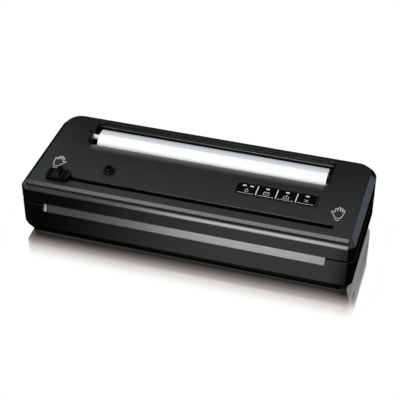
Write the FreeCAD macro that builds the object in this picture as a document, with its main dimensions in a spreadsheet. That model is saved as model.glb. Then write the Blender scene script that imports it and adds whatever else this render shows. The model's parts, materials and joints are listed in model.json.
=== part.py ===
# Vacuum sealer for 30 cm film, built as separate pieces in millimetres.
# +Z is up, the front of the machine looks along -Y and the floor is z = 0.
# Every size is a cell of the sheet "Sizes", and every piece is bound to those cells.
import FreeCAD
import Part
import Sketcher
import math
import os
from types import SimpleNamespace

SIZES = {
    # housing
    "body_width": 414.0,
    "body_depth": 166.0,
    "body_height": 78.5,
    "wall": 2.5,
    "foot_height": 2.5,
    "crease_height": 16.0,
    "bottom_inset": 6.5,
    "base_top": 49.8,
    "lid_bottom": 52.5,
    "corner_cut": 7.0,
    "rear_radius": 25.0,
    "frame_land": 0.6,
    "bevel": 7.0,
    "front_ledge": 5.6,
    "ledge_drop": 4.9,
    "ledge_slope": 2.6,
    "ledge_slope_drop": 3.8,
    "panel_thick": 2.5,
    "panel_gap": 0.4,
    "panel_slope": 3.6,
    "panel_slope_drop": 3.2,
    "flange_width": 5.0,
    "flange_thick": 4.5,
    "hollow_step": 5.5,
    "hollow_drop": 4.5,
    # clearances
    "running_gap": 0.3,
    "slide_gap": 0.4,
    "hinge_fit": 0.05,
    # finger recess along the front of the base
    "recess_margin": 27.5,
    "recess_right_margin": 33.0,
    "recess_taper": 0.8,
    "recess_low": 40.5,
    "recess_depth": 6.0,
    "recess_wall": 3.0,
    # deck of the base
    "deck_top": 48.3,
    "deck_thick": 2.5,
    "deck_front_room": 8.8,
    "deck_back_room": 7.5,
    "deck_side_room": 1.5,
    "deck_corner_trim": 5.0,
    "lip_thick": 2.0,
    "lip_set": 4.0,
    "lip_lead": 10.0,
    "chamber_margin": 52.0,
    "chamber_set": 35.0,
    "chamber_width": 24.0,
    "chamber_deep": 8.0,
    "chamber_corner": 2.5,
    "lid_chamber_deep": 2.0,
    "drip_rim_width": 1.0,
    "drip_rim_thick": 1.0,
    "tray_wall": 2.0,
    "gasket_width": 6.0,
    "gasket_set": 7.0,
    "gasket_groove": 1.5,
    "gasket_corner": 10.0,
    "lower_gasket_top": 51.0,
    "upper_gasket_high": 3.5,
    "heater_over": 2.0,
    "heater_set": 17.5,
    "heater_width": 10.0,
    "heater_high": 6.0,
    "heater_top": 49.6,
    "ribbon_width": 3.0,
    "ribbon_thick": 0.3,
    "tape_thick": 0.3,
    "strip_width": 7.0,
    "strip_seat": 2.0,
    "bay_room_front": 1.5,
    "bay_room_back": 2.0,
    "bay_room_end": 6.5,
    "bay_floor": 37.0,
    "nozzle_margin": 87.0,
    "nozzle_length": 10.0,
    "nozzle_wall": 0.6,
    "nozzle_collar": 1.5,
    # lid underside
    "liner_bottom": 53.5,
    "liner_thick": 3.5,
    "liner_front_room": 1.0,
    "liner_well_end": 4.0,
    "liner_well_side": 3.5,
    "lid_rib_half": 14.0,
    "lid_rib_reach": 4.0,
    "lid_rib_drop": 3.0,
    # hinge
    "hinge_in": 3.5,
    "hinge_height": 50.5,
    "barrel_radius": 3.2,
    "pin_radius": 1.6,
    "hinge_margin": 82.0,
    "knuckle_half": 7.0,
    "ear_thick": 6.0,
    "ear_high": 12.0,
    # roll well
    "well_margin": 52.0,
    "well_shift": 2.7,
    "well_set": 13.0,
    "well_width": 51.8,
    "well_floor": 40.5,
    "well_corner": 7.0,
    "well_flare": 1.3,
    "well_flare_left": 1.2,
    "well_flare_right": 2.8,
    "well_shelf": 4.2,
    "well_shelf_drop": 4.2,
    "well_shelf_thick": 2.8,
    "well_shelf_round": 1.2,
    "rim_end": 9.0,
    "rim_front": 6.0,
    "rim_back": 2.2,
    "spindle_radius": 3.2,
    "spindle_set": 24.0,
    "spindle_z": 70.8,
    "spindle_seat": 6.2,
    "pocket_wall": 2.0,
    "cradle_thick": 2.4,
    "cradle_half": 6.0,
    "cradle_rise": 0.6,
    "roll_room": 12.0,
    "roll_shift": 0.3,
    "roll_radius": 18.5,
    "core_bore": 13.3,
    "core_thick": 1.2,
    # cutter
    "slot_margin_left": 28.0,
    "slot_margin_right": 30.0,
    "slot_set": 25.5,
    "slot_width": 7.5,
    "slit_inset": 4.0,
    "rail_slit": 2.6,
    "rail_drop": 4.0,
    "rail_sink": 2.4,
    "rail_flange": 2.5,
    "rail_flange_thick": 1.5,
    "cutter_rest": 14.0,
    "knob_length": 30.0,
    "knob_width": 20.0,
    "knob_high": 5.2,
    "knob_corner": 6.0,
    "knob_round": 2.0,
    "knob_lift": 0.5,
    "fin_width": 6.0,
    "fin_high": 9.5,
    "fin_round": 1.2,
    "fin_slope": 5.0,
    "thumb_radius": 12.0,
    "thumb_shift": 9.0,
    "thumb_deep": 1.1,
    "shank_back": 8.0,
    "shank_front": 2.0,
    "shank_thick": 2.0,
    "carriage_half": 10.0,
    "carriage_width": 10.0,
    "carriage_thick": 3.5,
    "blade_thick": 0.6,
    "blade_length": 7.0,
    "blade_tip": 3.0,
    # hose port
    "port_margin": 97.5,
    "port_set": 53.0,
    "port_outer": 7.5,
    "port_inner": 5.5,
    "port_step": 3.0,
    "port_bore": 3.0,
    "port_throat": 2.4,
    "port_edge": 0.6,
    "port_shoulder": 1.2,
    "port_thread": 4.0,
    "port_barb_wall": 1.3,
    "port_barb_gap": 3.0,
    "socket_lift": 0.5,
    "nut_width": 2.5,
    "nut_thick": 3.0,
    "sleeve_wall": 1.4,
    # control panel
    "panel_margin": 55.0,
    "panel_set": 53.0,
    "panel_width": 104.5,
    "panel_depth": 28.0,
    "panel_corner": 4.0,
    "panel_sink": 1.6,
    "bezel_flange": 2.0,
    "bezel_flange_back": 1.5,
    "bezel_flange_thick": 2.2,
    "bezel_rim": 0.9,
    "bezel_end_slope": 3.0,
    "bezel_front_slope": 4.0,
    "bezel_back_slope": 1.1,
    "key_first_room": 14.6,
    "key_pitch": 24.5,
    "key_width": 22.6,
    "key_depth": 19.5,
    "key_set": 15.8,
    "key_sink": 0.3,
    "key_corner": 1.2,
    "key_round": 0.8,
    "key_travel": 1.0,
    "divider_width": 1.2,
    "divider_length": 16.5,
    "divider_sink": 0.5,
    "lamp_width": 4.5,
    "lamp_depth": 2.2,
    "lamp_set": 5.6,
    "lamp_pair": 9.2,
    "lamp_deep": 1.2,
    "board_thick": 1.6,
    "board_drop": 3.2,
    "leg_width": 3.0,
    "switch_width": 6.0,
    "switch_high": 2.0,
    "pip_radius": 1.5,
    "pip_high": 2.6,
    # latch
    "latch_set": 33.0,
    "button_z": 31.0,
    "button_width": 16.0,
    "button_high": 12.0,
    "button_corner": 3.0,
    "button_round": 0.8,
    "button_proud": 1.2,
    "button_travel": 3.0,
    "collar_thick": 1.8,
    "collar_side": 2.0,
    "collar_edge": 1.5,
    "catch_thick": 1.5,
    "catch_half": 8.0,
    "catch_reach": 12.0,
    "catch_lug": 8.0,
    "catch_room": 0.6,
    "hook_margin": 20.0,
    "hook_thick": 3.0,
    "hook_width": 10.0,
    "hook_foot": 3.0,
    "hook_foot_thick": 2.0,
    "barb": 2.0,
    "barb_rise": 3.2,
    "slot_room": 4.0,
    "spring_room": 12.0,
    "spring_radius": 2.4,
    "spring_wire": 0.35,
    "post_thick": 2.5,
    "post_half": 6.0,
    "rib_thick": 2.0,
    "rib_start": 4.0,
    "rib_end": 24.0,
    # fasteners and feet
    "boss_radius": 4.0,
    "boss_margin": 35.0,
    "boss_front_set": 71.0,
    "boss_rear_set": 19.0,
    "screw_radius": 1.4,
    "screw_head": 2.8,
    "screw_head_room": 0.2,
    "screw_head_thick": 1.5,
    "screw_head_sink": 0.3,
    "screw_bite": 1.6,
    "lid_screw_margin": 31.0,
    "lid_screw_front": 58.0,
    "lid_screw_rear": 35.0,
    "lid_screw_left": 147.0,
    "lid_screw_right": 177.0,
    "lid_screw_middle": 80.0,
    "lid_screw_sink": 0.2,
    "lid_screw_bite": 9.0,
    "panel_boss_radius": 3.5,
    "foot_radius": 9.0,
    "foot_margin": 23.0,
    "foot_set": 28.0,
    "foot_sink": 1.2,
    # pump and valve
    "motor_margin": 147.0,
    "motor_radius": 13.5,
    "motor_length": 50.0,
    "motor_nose": 5.0,
    "motor_nose_length": 3.0,
    "pump_set": 79.0,
    "pump_z": 20.5,
    "head_length": 34.0,
    "head_half": 15.0,
    "head_rise": 17.0,
    "head_corner": 4.0,
    "pipe_first": 9.0,
    "pipe_pitch": 16.0,
    "pipe_rise": 23.0,
    "mount_thick": 8.0,
    "mount_inset": 4.0,
    "mount_inset_head": 6.0,
    "mount_drop": 4.0,
    "valve_margin": 95.0,
    "valve_length": 20.0,
    "valve_high": 24.0,
    "plunger_radius": 5.0,
    "plunger_high": 30.0,
    "tube_radius": 2.6,
    "tube_bore": 1.6,
    "tube_bend": 5.0,
    "suction_bend": 4.0,
    "chamber_tube_z": 16.0,
    "suction_tube_z": 14.0,
    "suction_reach": 21.0,
    "vent_pitch": 8.0,
    "vent_width": 3.0,
    "vent_length": 30.0,
    "vent_set": 63.0,
    # transformer and power board
    "core_margin": 137.0,
    "core_length": 42.0,
    "core_half": 15.0,
    "core_high": 34.0,
    "core_leg": 7.0,
    "core_window": 8.0,
    "winding_front": 21.0,
    "winding_back": 18.0,
    "board_margin": 169.0,
    "board_length": 80.0,
    "board_set": 63.0,
    "board_depth": 44.0,
    "post_radius": 2.5,
    "post_high": 4.0,
    "post_inset_x": 6.0,
    "post_inset_y": 4.0,
    "large_can_radius": 6.0,
    "large_can_high": 16.0,
    "small_can_radius": 4.0,
    "small_can_high": 12.0,
    "can_pitch": 14.0,
    "can_row": 12.0,
    "relay_length": 18.0,
    "relay_depth": 15.0,
    "relay_x": 42.0,
    "sink_x": 18.0,
    "sink_length": 36.0,
    "sink_row": 32.0,
    "sink_depth": 6.0,
    "sink_high": 17.0,
    "terminal_x": 66.0,
    "terminal_length": 10.0,
    "terminal_row": 6.0,
    "terminal_depth": 24.0,
    # lid switch and mains inlet
    "lid_switch_margin": 77.0,
    "lid_switch_set": 67.0,
    "lid_switch_length": 20.0,
    "lid_switch_depth": 8.0,
    "lid_switch_high": 11.0,
    "lever_inset": 2.0,
    "lever_thick": 1.5,
    "lever_high": 3.0,
    "inlet_margin": 67.0,
    "inlet_z": 22.0,
    "inlet_width": 24.0,
    "inlet_high": 15.0,
    "inlet_deep": 16.0,
    "inlet_corner": 5.0,
    "inlet_wall_x": 3.7,
    "inlet_wall_z": 3.2,
    "inlet_wall_y": 3.0,
    "inlet_sink": 0.4,
    "contact_radius": 1.2,
    "contact_pitch": 8.6,
    "contact_tail": 4.0,
    "contact_sink": 6.0,
}

doc = FreeCAD.newDocument("vacuum_sealer")
sheet = doc.addObject("Spreadsheet::Sheet", "Sizes")
for row, (alias, number) in enumerate(SIZES.items(), start=1):
    sheet.set(f"A{row}", alias)
    sheet.set(f"B{row}", str(number))
    sheet.setAlias(f"B{row}", alias)
doc.recompute()


class Dim:
    """A number together with the sheet expression that gives it."""

    def __init__(self, value, text):
        self.value = float(value)
        self.text = text

    def combine(self, other, sign, value, swap=False):
        first, second = (dim(other), self) if swap else (self, dim(other))
        return Dim(value(first.value, second.value), f"({first.text} {sign} {second.text})")

    def __add__(self, other):
        return self.combine(other, "+", lambda a, b: a + b)

    def __radd__(self, other):
        return self.combine(other, "+", lambda a, b: a + b, True)

    def __sub__(self, other):
        return self.combine(other, "-", lambda a, b: a - b)

    def __rsub__(self, other):
        return self.combine(other, "-", lambda a, b: a - b, True)

    def __mul__(self, other):
        return self.combine(other, "*", lambda a, b: a * b)

    def __rmul__(self, other):
        return self.combine(other, "*", lambda a, b: a * b, True)

    def __truediv__(self, other):
        return self.combine(other, "/", lambda a, b: a / b)

    def __neg__(self):
        return Dim(-self.value, f"(0 - {self.text})")


def dim(value):
    """Return value as a Dim, plain numbers included."""
    if isinstance(value, Dim):
        return value
    return Dim(value, repr(float(value)))


d = SimpleNamespace(**{alias: Dim(sheet.get(alias), f"Sizes.{alias}") for alias in SIZES})
half_width = d.body_width / 2
half_depth = d.body_depth / 2

# Places that keep their distance from the ends, the front or the back of the housing

d.recess_half_top = half_width - d.recess_margin
d.recess_half_low = d.recess_half_top - d.recess_taper
d.recess_right_top = half_width - d.recess_right_margin
d.recess_right_low = d.recess_right_top - d.recess_taper
d.deck_front = half_depth - d.deck_front_room
d.deck_back = half_depth - d.deck_back_room
d.chamber_half = half_width - d.chamber_margin
d.chamber_front = half_depth - d.chamber_set
d.chamber_back = d.chamber_front - d.chamber_width
d.heater_half = d.chamber_half + d.heater_over
d.heater_y = half_depth - d.heater_set
d.well_half = half_width - d.well_margin
d.well_back = half_depth - d.well_set
d.well_front = d.well_back - d.well_width
d.bay_half = d.well_half + d.bay_room_end
d.bay_front = d.well_front - d.bay_room_front
d.bay_back = d.well_back + d.bay_room_back
d.well_left = d.well_half + d.well_shift
d.well_right = d.well_half - d.well_shift
d.spindle_left = d.well_left + d.spindle_seat
d.spindle_right = d.well_right - d.running_gap
d.spindle_y = d.well_back - d.spindle_set
d.roll_length = 2 * d.well_half - d.roll_room
d.hinge_x = half_width - d.hinge_margin
d.slot_left = half_width - d.slot_margin_left
d.slot_right = half_width - d.slot_margin_right
d.slot_y = half_depth - d.slot_set
d.cutter_x = d.slot_left - d.cutter_rest
d.port_x = half_width - d.port_margin
d.port_y = half_depth - d.port_set
d.panel_right = half_width - d.panel_margin
d.panel_left = d.panel_right - d.panel_width
d.panel_front = half_depth - d.panel_set
d.panel_back = d.panel_front - d.panel_depth
d.key_first = d.panel_left + d.key_first_room
d.key_y = d.panel_front - d.key_set
d.lamp_y = d.key_y - d.lamp_set
d.latch_y = half_depth - d.latch_set
d.hook_x = half_width - d.hook_margin
d.boss_x = half_width - d.boss_margin
d.boss_front_y = half_depth - d.boss_front_set
d.boss_rear_y = half_depth - d.boss_rear_set
d.foot_x = half_width - d.foot_margin
d.foot_y = half_depth - d.foot_set
d.inlet_x = half_width - d.inlet_margin


# Building blocks

def bind(obj, prop, value):
    obj.setExpression(prop, dim(value).text)


def move(obj, x, y, z):
    bind(obj, "Placement.Base.x", x)
    bind(obj, "Placement.Base.y", y)
    bind(obj, "Placement.Base.z", z)


def box(name, x, y, z):
    """Block between the two ends given for each axis."""
    block = doc.addObject("Part::Box", name)
    bind(block, "Length", dim(x[1]) - x[0])
    bind(block, "Width", dim(y[1]) - y[0])
    bind(block, "Height", dim(z[1]) - z[0])
    move(block, x[0], y[0], z[0])
    return block


TURNS = {
    "x": FreeCAD.Rotation(FreeCAD.Vector(0, 1, 0), 90),
    "y": FreeCAD.Rotation(FreeCAD.Vector(1, 0, 0), -90),
    "z": FreeCAD.Rotation(),
}


def cylinder(name, axis, radius, span, centre):
    """Round bar along an axis; centre holds the other two coordinates in x, y, z order."""
    bar = doc.addObject("Part::Cylinder", name)
    bar.Placement = FreeCAD.Placement(FreeCAD.Vector(), TURNS[axis])
    bind(bar, "Radius", radius)
    bind(bar, "Height", dim(span[1]) - span[0])
    place = list(centre)
    place.insert("xyz".index(axis), span[0])
    move(bar, *place)
    return bar


def tube(name, axis, outer, inner, span, centre):
    skin = cylinder(name + "_skin", axis, outer, span, centre)
    bore = cylinder(name + "_bore", axis, inner, (dim(span[0]) - 1, dim(span[1]) + 1), centre)
    return cut(name, skin, bore)


def fuse(name, *pieces):
    joined = doc.addObject("Part::MultiFuse", name)
    joined.Shapes = list(pieces)
    return joined


def cut(name, base, *tools):
    result = doc.addObject("Part::Cut", name)
    result.Base = base
    result.Tool = tools[0] if len(tools) == 1 else fuse(name + "_tools", *tools)
    return result


def common(name, *pieces):
    result = doc.addObject("Part::MultiCommon", name)
    result.Shapes = list(pieces)
    return result


def group(name, *pieces):
    """Several separate solids that are one node."""
    result = doc.addObject("Part::Compound", name)
    result.Links = list(pieces)
    return result


def origin_plane(body, role):
    return [item for item in body.Origin.OriginFeatures if item.Role == role][0]


def sketch(body, name, plane, offset, points):
    """Closed outline. A point is (u, v), or (u, v, cu, cv) when an arc about cu, cv leads to it."""
    drawing = body.newObject("Sketcher::SketchObject", name)
    drawing.AttachmentSupport = [(origin_plane(body, plane), "")]
    drawing.MapMode = "FlatFace"
    bind(drawing, "AttachmentOffset.Base.z", offset)
    ends = []
    following = points[1:] + points[:1]
    for start, finish in zip(points, following):
        a = FreeCAD.Vector(dim(start[0]).value, dim(start[1]).value, 0)
        b = FreeCAD.Vector(dim(finish[0]).value, dim(finish[1]).value, 0)
        if len(finish) == 2:
            ends.append((drawing.addGeometry(Part.LineSegment(a, b), False), 1, 2))
            continue
        centre = FreeCAD.Vector(dim(finish[2]).value, dim(finish[3]).value, 0)
        from_centre, to_centre = a - centre, b - centre
        first = math.atan2(from_centre.y, from_centre.x)
        last = math.atan2(to_centre.y, to_centre.x)
        circle = Part.Circle(centre, FreeCAD.Vector(0, 0, 1), from_centre.Length)
        if from_centre.x * to_centre.y - from_centre.y * to_centre.x > 0:
            ends.append((drawing.addGeometry(Part.ArcOfCircle(circle, first, last), False), 1, 2))
        else:
            ends.append((drawing.addGeometry(Part.ArcOfCircle(circle, last, first), False), 2, 1))

    def lock(kind, edge, spot, value):
        number = drawing.addConstraint(Sketcher.Constraint(kind, -1, 1, edge, spot, dim(value).value))
        bind(drawing, f"Constraints[{number}]", value)

    for one, other in zip(ends, ends[1:] + ends[:1]):
        drawing.addConstraint(Sketcher.Constraint("Coincident", one[0], one[2], other[0], other[1]))
    for edge, start, finish in zip(ends, points, following):
        lock("DistanceX", edge[0], edge[1], start[0])
        lock("DistanceY", edge[0], edge[1], start[1])
        if len(finish) == 4:
            lock("DistanceX", edge[0], 3, finish[2])
    return drawing


def prism(name, plane, points, span):
    """Body with one sketch on the given plane, padded between two positions along the third axis."""
    body = doc.addObject("PartDesign::Body", name)
    if plane == "XZ":
        drawing = sketch(body, name + "_sketch", "XZ_Plane", -dim(span[1]), points)
    else:
        drawing = sketch(body, name + "_sketch", plane + "_Plane", span[0], points)
    pad = body.newObject("PartDesign::Pad", name + "_pad")
    pad.Profile = drawing
    bind(pad, "Length", dim(span[1]) - span[0])
    drawing.Visibility = False
    return body


def loft(name, sections):
    """Body made of plan outlines joined by straight walls; sections holds (height, outline) pairs."""
    body = doc.addObject("PartDesign::Body", name)
    rings = []
    for number, (height, points) in enumerate(sections):
        rings.append(sketch(body, f"{name}_ring{number}", "XY_Plane", height, points))
    skin = body.newObject("PartDesign::AdditiveLoft", name + "_loft")
    skin.Profile = rings[0]
    skin.Sections = rings[1:]
    skin.Ruled = True
    return body


def revolve(name, points, x, y):
    """Body turned about a vertical axis at x, y; the outline is drawn as (radius, height)."""
    body = doc.addObject("PartDesign::Body", name)
    drawing = sketch(body, name + "_sketch", "XZ_Plane", 0, points)
    turned = body.newObject("PartDesign::Revolution", name + "_turn")
    turned.Profile = drawing
    turned.ReferenceAxis = (drawing, ["V_Axis"])
    turned.Angle = 360
    move(body, x, y, 0)
    return body


def dress(body, kind, radius, choose):
    """Round or chamfer the edges of a body whose middle point passes the test."""
    doc.recompute()
    base = body.Tip
    names = []
    for number, edge in enumerate(base.Shape.Edges, start=1):
        middle = edge.valueAt((edge.FirstParameter + edge.LastParameter) / 2)
        if choose(edge, middle):
            names.append(f"Edge{number}")
    feature = body.newObject("PartDesign::" + kind, f"{body.Name}_{kind.lower()}")
    feature.Base = (base, names)
    bind(feature, "Radius" if kind == "Fillet" else "Size", radius)
    return body


def near(value, target):
    return abs(value - dim(target).value) < 0.02


def rounded(x, y, r):
    """Rectangle with four round corners."""
    x0, x1, y0, y1 = dim(x[0]), dim(x[1]), dim(y[0]), dim(y[1])
    return [
        (x0 + r, y0, x0 + r, y0 + r), (x1 - r, y0),
        (x1, y0 + r, x1 - r, y0 + r), (x1, y1 - r),
        (x1 - r, y1, x1 - r, y1 - r), (x0 + r, y1),
        (x0, y1 - r, x0 + r, y1 - r), (x0, y0 + r),
    ]


def plan(inset):
    """Plan of the housing: cut front corners, round rear corners, moved inwards by inset."""
    w = half_width - inset
    back = half_depth - inset
    front = -(half_depth - inset)
    r = d.rear_radius - inset
    c = d.corner_cut
    return [
        (-(w - c), front), (w - c, front), (w, front + c), (w, back - r),
        (w - r, back, w - r, back - r), (-(w - r), back),
        (-w, back - r, -(w - r), back - r), (-w, front + c),
    ]


def tongue(half, front, back, r, corner=None):
    """Plan with round rear corners and square or cut front corners."""
    rear = [
        (half, back - r), (half - r, back, half - r, back - r),
        (-(half - r), back), (-half, back - r, -(half - r), back - r),
    ]
    if corner is None:
        return [(-half, front), (half, front)] + rear
    nose = [(-(half - corner), front), (half - corner, front), (half, front + corner)]
    return nose + rear + [(-half, front + corner)]


def ring(name, x, y, width, z, r):
    """Flat frame with round corners: x and y are the middle line."""
    w = width / 2
    outer = prism(name + "_outer", "XY", rounded((x[0] - w, x[1] + w), (y[0] - w, y[1] + w), r + w), z)
    inner_span = (dim(z[0]) - 1, dim(z[1]) + 1)
    inner = prism(name + "_inner", "XY", rounded((x[0] + w, x[1] - w), (y[0] + w, y[1] - w), r - w),
                  inner_span)
    return cut(name, outer, inner)


def both(make):
    """Build a piece on the right (+1) and on the left (-1)."""
    return [make(side, "right" if side > 0 else "left") for side in (1, -1)]


def span_of(side, near_end, far_end):
    """Span along X between two distances from the middle, on the given side."""
    if side > 0:
        return (near_end, far_end)
    return (-dim(far_end), -dim(near_end))


# Shared heights and places

base_bottom = d.foot_height
floor_top = d.foot_height + d.wall
top = d.body_height
panel_under = top - d.panel_thick
ledge_top = top - d.ledge_drop
deck_under = d.deck_top - d.deck_thick
liner_top = d.liner_bottom + d.liner_thick
hinge_y = half_depth - d.hinge_in
inner_half = half_width - d.wall
gap = d.running_gap


# Base housing: a pan with a tapered foot, a sloped finger recess and the hinge ears

pan_outer = loft("pan_outer", [
    (base_bottom, plan(d.bottom_inset)), (d.crease_height, plan(0)), (d.base_top, plan(0))])
pan_inner = loft("pan_inner", [
    (floor_top, plan(d.bottom_inset + d.wall)), (d.crease_height, plan(d.wall)),
    (d.base_top + 1, plan(d.wall))])
backing_front = -(half_depth - d.wall) - 0.5
backing_rear = -(d.deck_front + gap)
backing_run = backing_rear - backing_front
backing_low = d.recess_low - 2 * d.recess_wall
backing_half = d.recess_half_top + d.recess_wall
backing = prism("recess_backing", "YZ", [
    (backing_front, backing_low), (backing_rear, backing_low + 1.5 * backing_run),
    (backing_rear, d.base_top), (backing_front, d.base_top)], (-backing_half, backing_half))
recess_rise = (d.base_top - d.recess_low) / d.recess_depth
recess_slope = prism("recess_slope", "YZ", [
    (-half_depth - 1, d.recess_low - recess_rise),
    (-half_depth + d.recess_depth + 1, d.base_top + recess_rise),
    (-half_depth - 1, d.base_top + recess_rise)],
    (-(d.recess_half_top + 2), d.recess_half_top + 2))
recess_ends = prism("recess_ends", "XZ", [
    (-d.recess_half_low, d.recess_low - 2), (d.recess_right_low, d.recess_low - 2),
    (d.recess_right_top, d.base_top + 3), (-d.recess_half_top, d.base_top + 3)],
    (-half_depth - 2, -half_depth + d.recess_depth + 3))
finger_recess = common("finger_recess", recess_slope, recess_ends)
rear_relief = prism("rear_relief", "YZ", [
    (half_depth - d.wall, d.base_top), (half_depth + 0.5, d.base_top - d.wall - 0.5),
    (half_depth + 0.5, d.base_top + 1), (half_depth - d.wall, d.base_top + 1)],
    (-half_width, half_width))


def hinge_ear(side, hand):
    pieces = []
    for place, start in (("out", d.hinge_x + d.knuckle_half + gap),
                         ("in", d.hinge_x - d.knuckle_half - gap - d.ear_thick)):
        span = span_of(side, start, start + d.ear_thick)
        web = box(f"ear_web_{place}_{hand}", span, (hinge_y - d.barrel_radius, half_depth - 0.4),
                  (d.hinge_height - d.ear_high, d.hinge_height))
        barrel = cylinder(f"ear_barrel_{place}_{hand}", "x", d.barrel_radius, span,
                          (hinge_y, d.hinge_height))
        pieces += [web, barrel]
    return pieces


def hinge_bore(side, hand, radius):
    reach = d.knuckle_half + d.ear_thick + 2
    return cylinder(f"hinge_bore_{hand}_{round(radius.value * 100)}", "x", radius,
                    span_of(side, d.hinge_x - reach, d.hinge_x + reach), (hinge_y, d.hinge_height))


def knuckle_notch(side, hand):
    room = d.knuckle_half + gap
    return box(f"knuckle_notch_{hand}", span_of(side, d.hinge_x - room, d.hinge_x + room),
               (hinge_y - d.barrel_radius - 1, half_depth + 1),
               (d.hinge_height - d.barrel_radius - 1, d.base_top + 1))


def button_window(side, hand):
    room = d.slide_gap
    return prism(f"button_window_{hand}", "YZ", rounded(
        (-d.latch_y - d.button_width / 2 - room, -d.latch_y + d.button_width / 2 + room),
        (d.button_z - d.button_high / 2 - room, d.button_z + d.button_high / 2 + room),
        d.button_corner + room),
        span_of(side, inner_half - 1, half_width + 1))


slider_end = d.hook_x - d.catch_reach
post_face = slider_end - d.spring_room
plate_low = d.button_z - d.catch_thick / 2
plate_high = d.button_z + d.catch_thick / 2


def spring_post(side, hand):
    post = box(f"spring_post_{hand}", span_of(side, post_face - d.post_thick, post_face),
               (-d.latch_y - d.post_half, -d.latch_y + d.post_half), (floor_top, d.button_z + d.post_half))
    ribs = [box(f"slider_rib_{name}_{hand}", span_of(side, slider_end + d.rib_start, slider_end + d.rib_end),
                (low - d.latch_y, low - d.latch_y + d.rib_thick), (floor_top, plate_low - gap))
            for name, low in (("front", -d.catch_half), ("rear", d.catch_half - d.rib_thick))]
    return [post] + ribs


boss_places = [(side * d.boss_x, place) for side in (1, -1)
               for place in (-d.boss_front_y, d.boss_rear_y)]
bosses = [cylinder(f"boss{n}", "z", d.boss_radius, (floor_top - 0.5, deck_under), place)
          for n, place in enumerate(boss_places)]
boss_bores = [cylinder(f"boss_bore{n}", "z", d.screw_radius, (base_bottom - 1, deck_under + 1), place)
              for n, place in enumerate(boss_places)]
head_seat = base_bottom + d.screw_head_sink + d.screw_head_thick
seat_radius = d.screw_head + d.screw_head_room
boss_seats = [cylinder(f"boss_seat{n}", "z", seat_radius, (base_bottom - 1, head_seat), place)
              for n, place in enumerate(boss_places)]
foot_places = [(x * d.foot_x, y * d.foot_y) for x in (1, -1) for y in (1, -1)]
foot_high = base_bottom + d.foot_sink
foot_seats = [cylinder(f"foot_seat{n}", "z", d.foot_radius, (base_bottom - 1, foot_high), place)
              for n, place in enumerate(foot_places)]
motor_start = d.motor_margin - half_width
vent_y = half_depth - d.vent_set
vent_starts = [motor_start + n * d.vent_pitch for n in range(6)]
vents = [box(f"vent{n}", (start, start + d.vent_width), (vent_y, vent_y + d.vent_length),
             (base_bottom - 1, floor_top + 1)) for n, start in enumerate(vent_starts)]
inlet_hole = prism("inlet_hole", "XZ", rounded(
    (d.inlet_x - d.inlet_width / 2, d.inlet_x + d.inlet_width / 2),
    (d.inlet_z - d.inlet_high / 2, d.inlet_z + d.inlet_high / 2), d.inlet_corner),
    (half_depth - 2 * d.wall, half_depth + 1))
board_x = (half_width - d.board_margin, half_width - d.board_margin + d.board_length)
board_y = (half_depth - d.board_set, half_depth - d.board_set + d.board_depth)
board_low = floor_top + d.post_high
post_places = [(x, y) for x in (board_x[0] + d.post_inset_x, board_x[1] - d.post_inset_x)
               for y in (board_y[0] + d.post_inset_y, board_y[1] - d.post_inset_y)]
board_posts = [cylinder(f"board_post{n}", "z", d.post_radius, (floor_top - 0.5, board_low), place)
               for n, place in enumerate(post_places)]

pan = cut("pan", pan_outer, pan_inner, rear_relief)
pan_filled = fuse("pan_filled", pan, backing, *bosses, *board_posts,
                  *[piece for parts in both(hinge_ear) for piece in parts],
                  *[piece for parts in both(spring_post) for piece in parts])
base_shell = cut("base_shell", pan_filled, finger_recess, inlet_hole,
                 *both(lambda side, hand: hinge_bore(side, hand, d.pin_radius)),
                 *both(knuckle_notch), *both(button_window),
                 *boss_bores, *boss_seats, *foot_seats, *vents)

feet = group("rubber_feet", *[
    cylinder(f"foot{n}", "z", d.foot_radius, (0, foot_high), place)
    for n, place in enumerate(foot_places)])


def screw(name, place, head_from, head_to, tip):
    low, high = sorted((dim(head_to), dim(tip)), key=lambda item: item.value)
    shank = cylinder(name + "_shank", "z", d.screw_radius, (low, high), place)
    cap = cylinder(name + "_cap", "z", d.screw_head, (head_from, head_to), place)
    return fuse(name, cap, shank)


base_screws = group("base_screws", *[
    screw(f"base_screw{n}", place, base_bottom + d.screw_head_sink, head_seat, deck_under + d.screw_bite)
    for n, place in enumerate(boss_places)])
hinge_pins = group("hinge_pins", *both(lambda side, hand: cylinder(
    f"hinge_pin_{hand}", "x", d.pin_radius,
    span_of(side, d.hinge_x - d.knuckle_half - d.ear_thick, d.hinge_x + d.knuckle_half + d.ear_thick),
    (hinge_y, d.hinge_height))))

# Deck of the base: heater seat, gasket groove, opening for the drip tray and the bay under the roll well

deck_half = inner_half - d.deck_side_room
deck_round = d.rear_radius - d.deck_corner_trim
deck_plate = prism("deck_plate", "XY", tongue(deck_half, -d.deck_front, d.deck_back, deck_round),
                   (deck_under, d.deck_top))
bay_outer = box("bay_outer", (-(d.bay_half + d.tray_wall), d.bay_half + d.tray_wall),
                (d.bay_front - d.tray_wall, d.bay_back + d.tray_wall),
                (d.bay_floor - d.tray_wall, d.deck_top))
bay_inner = box("bay_inner", (-d.bay_half, d.bay_half), (d.bay_front, d.bay_back),
                (d.bay_floor, d.deck_top + 1))
channel_floor = d.deck_top - d.chamber_deep
chamber_x = (-d.chamber_half, d.chamber_half)
chamber_y = (-d.chamber_front, -d.chamber_back)


def chamber_outline(room):
    return rounded((chamber_x[0] - room, chamber_x[1] + room), (chamber_y[0] - room, chamber_y[1] + room),
                   d.chamber_corner + room)


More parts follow.
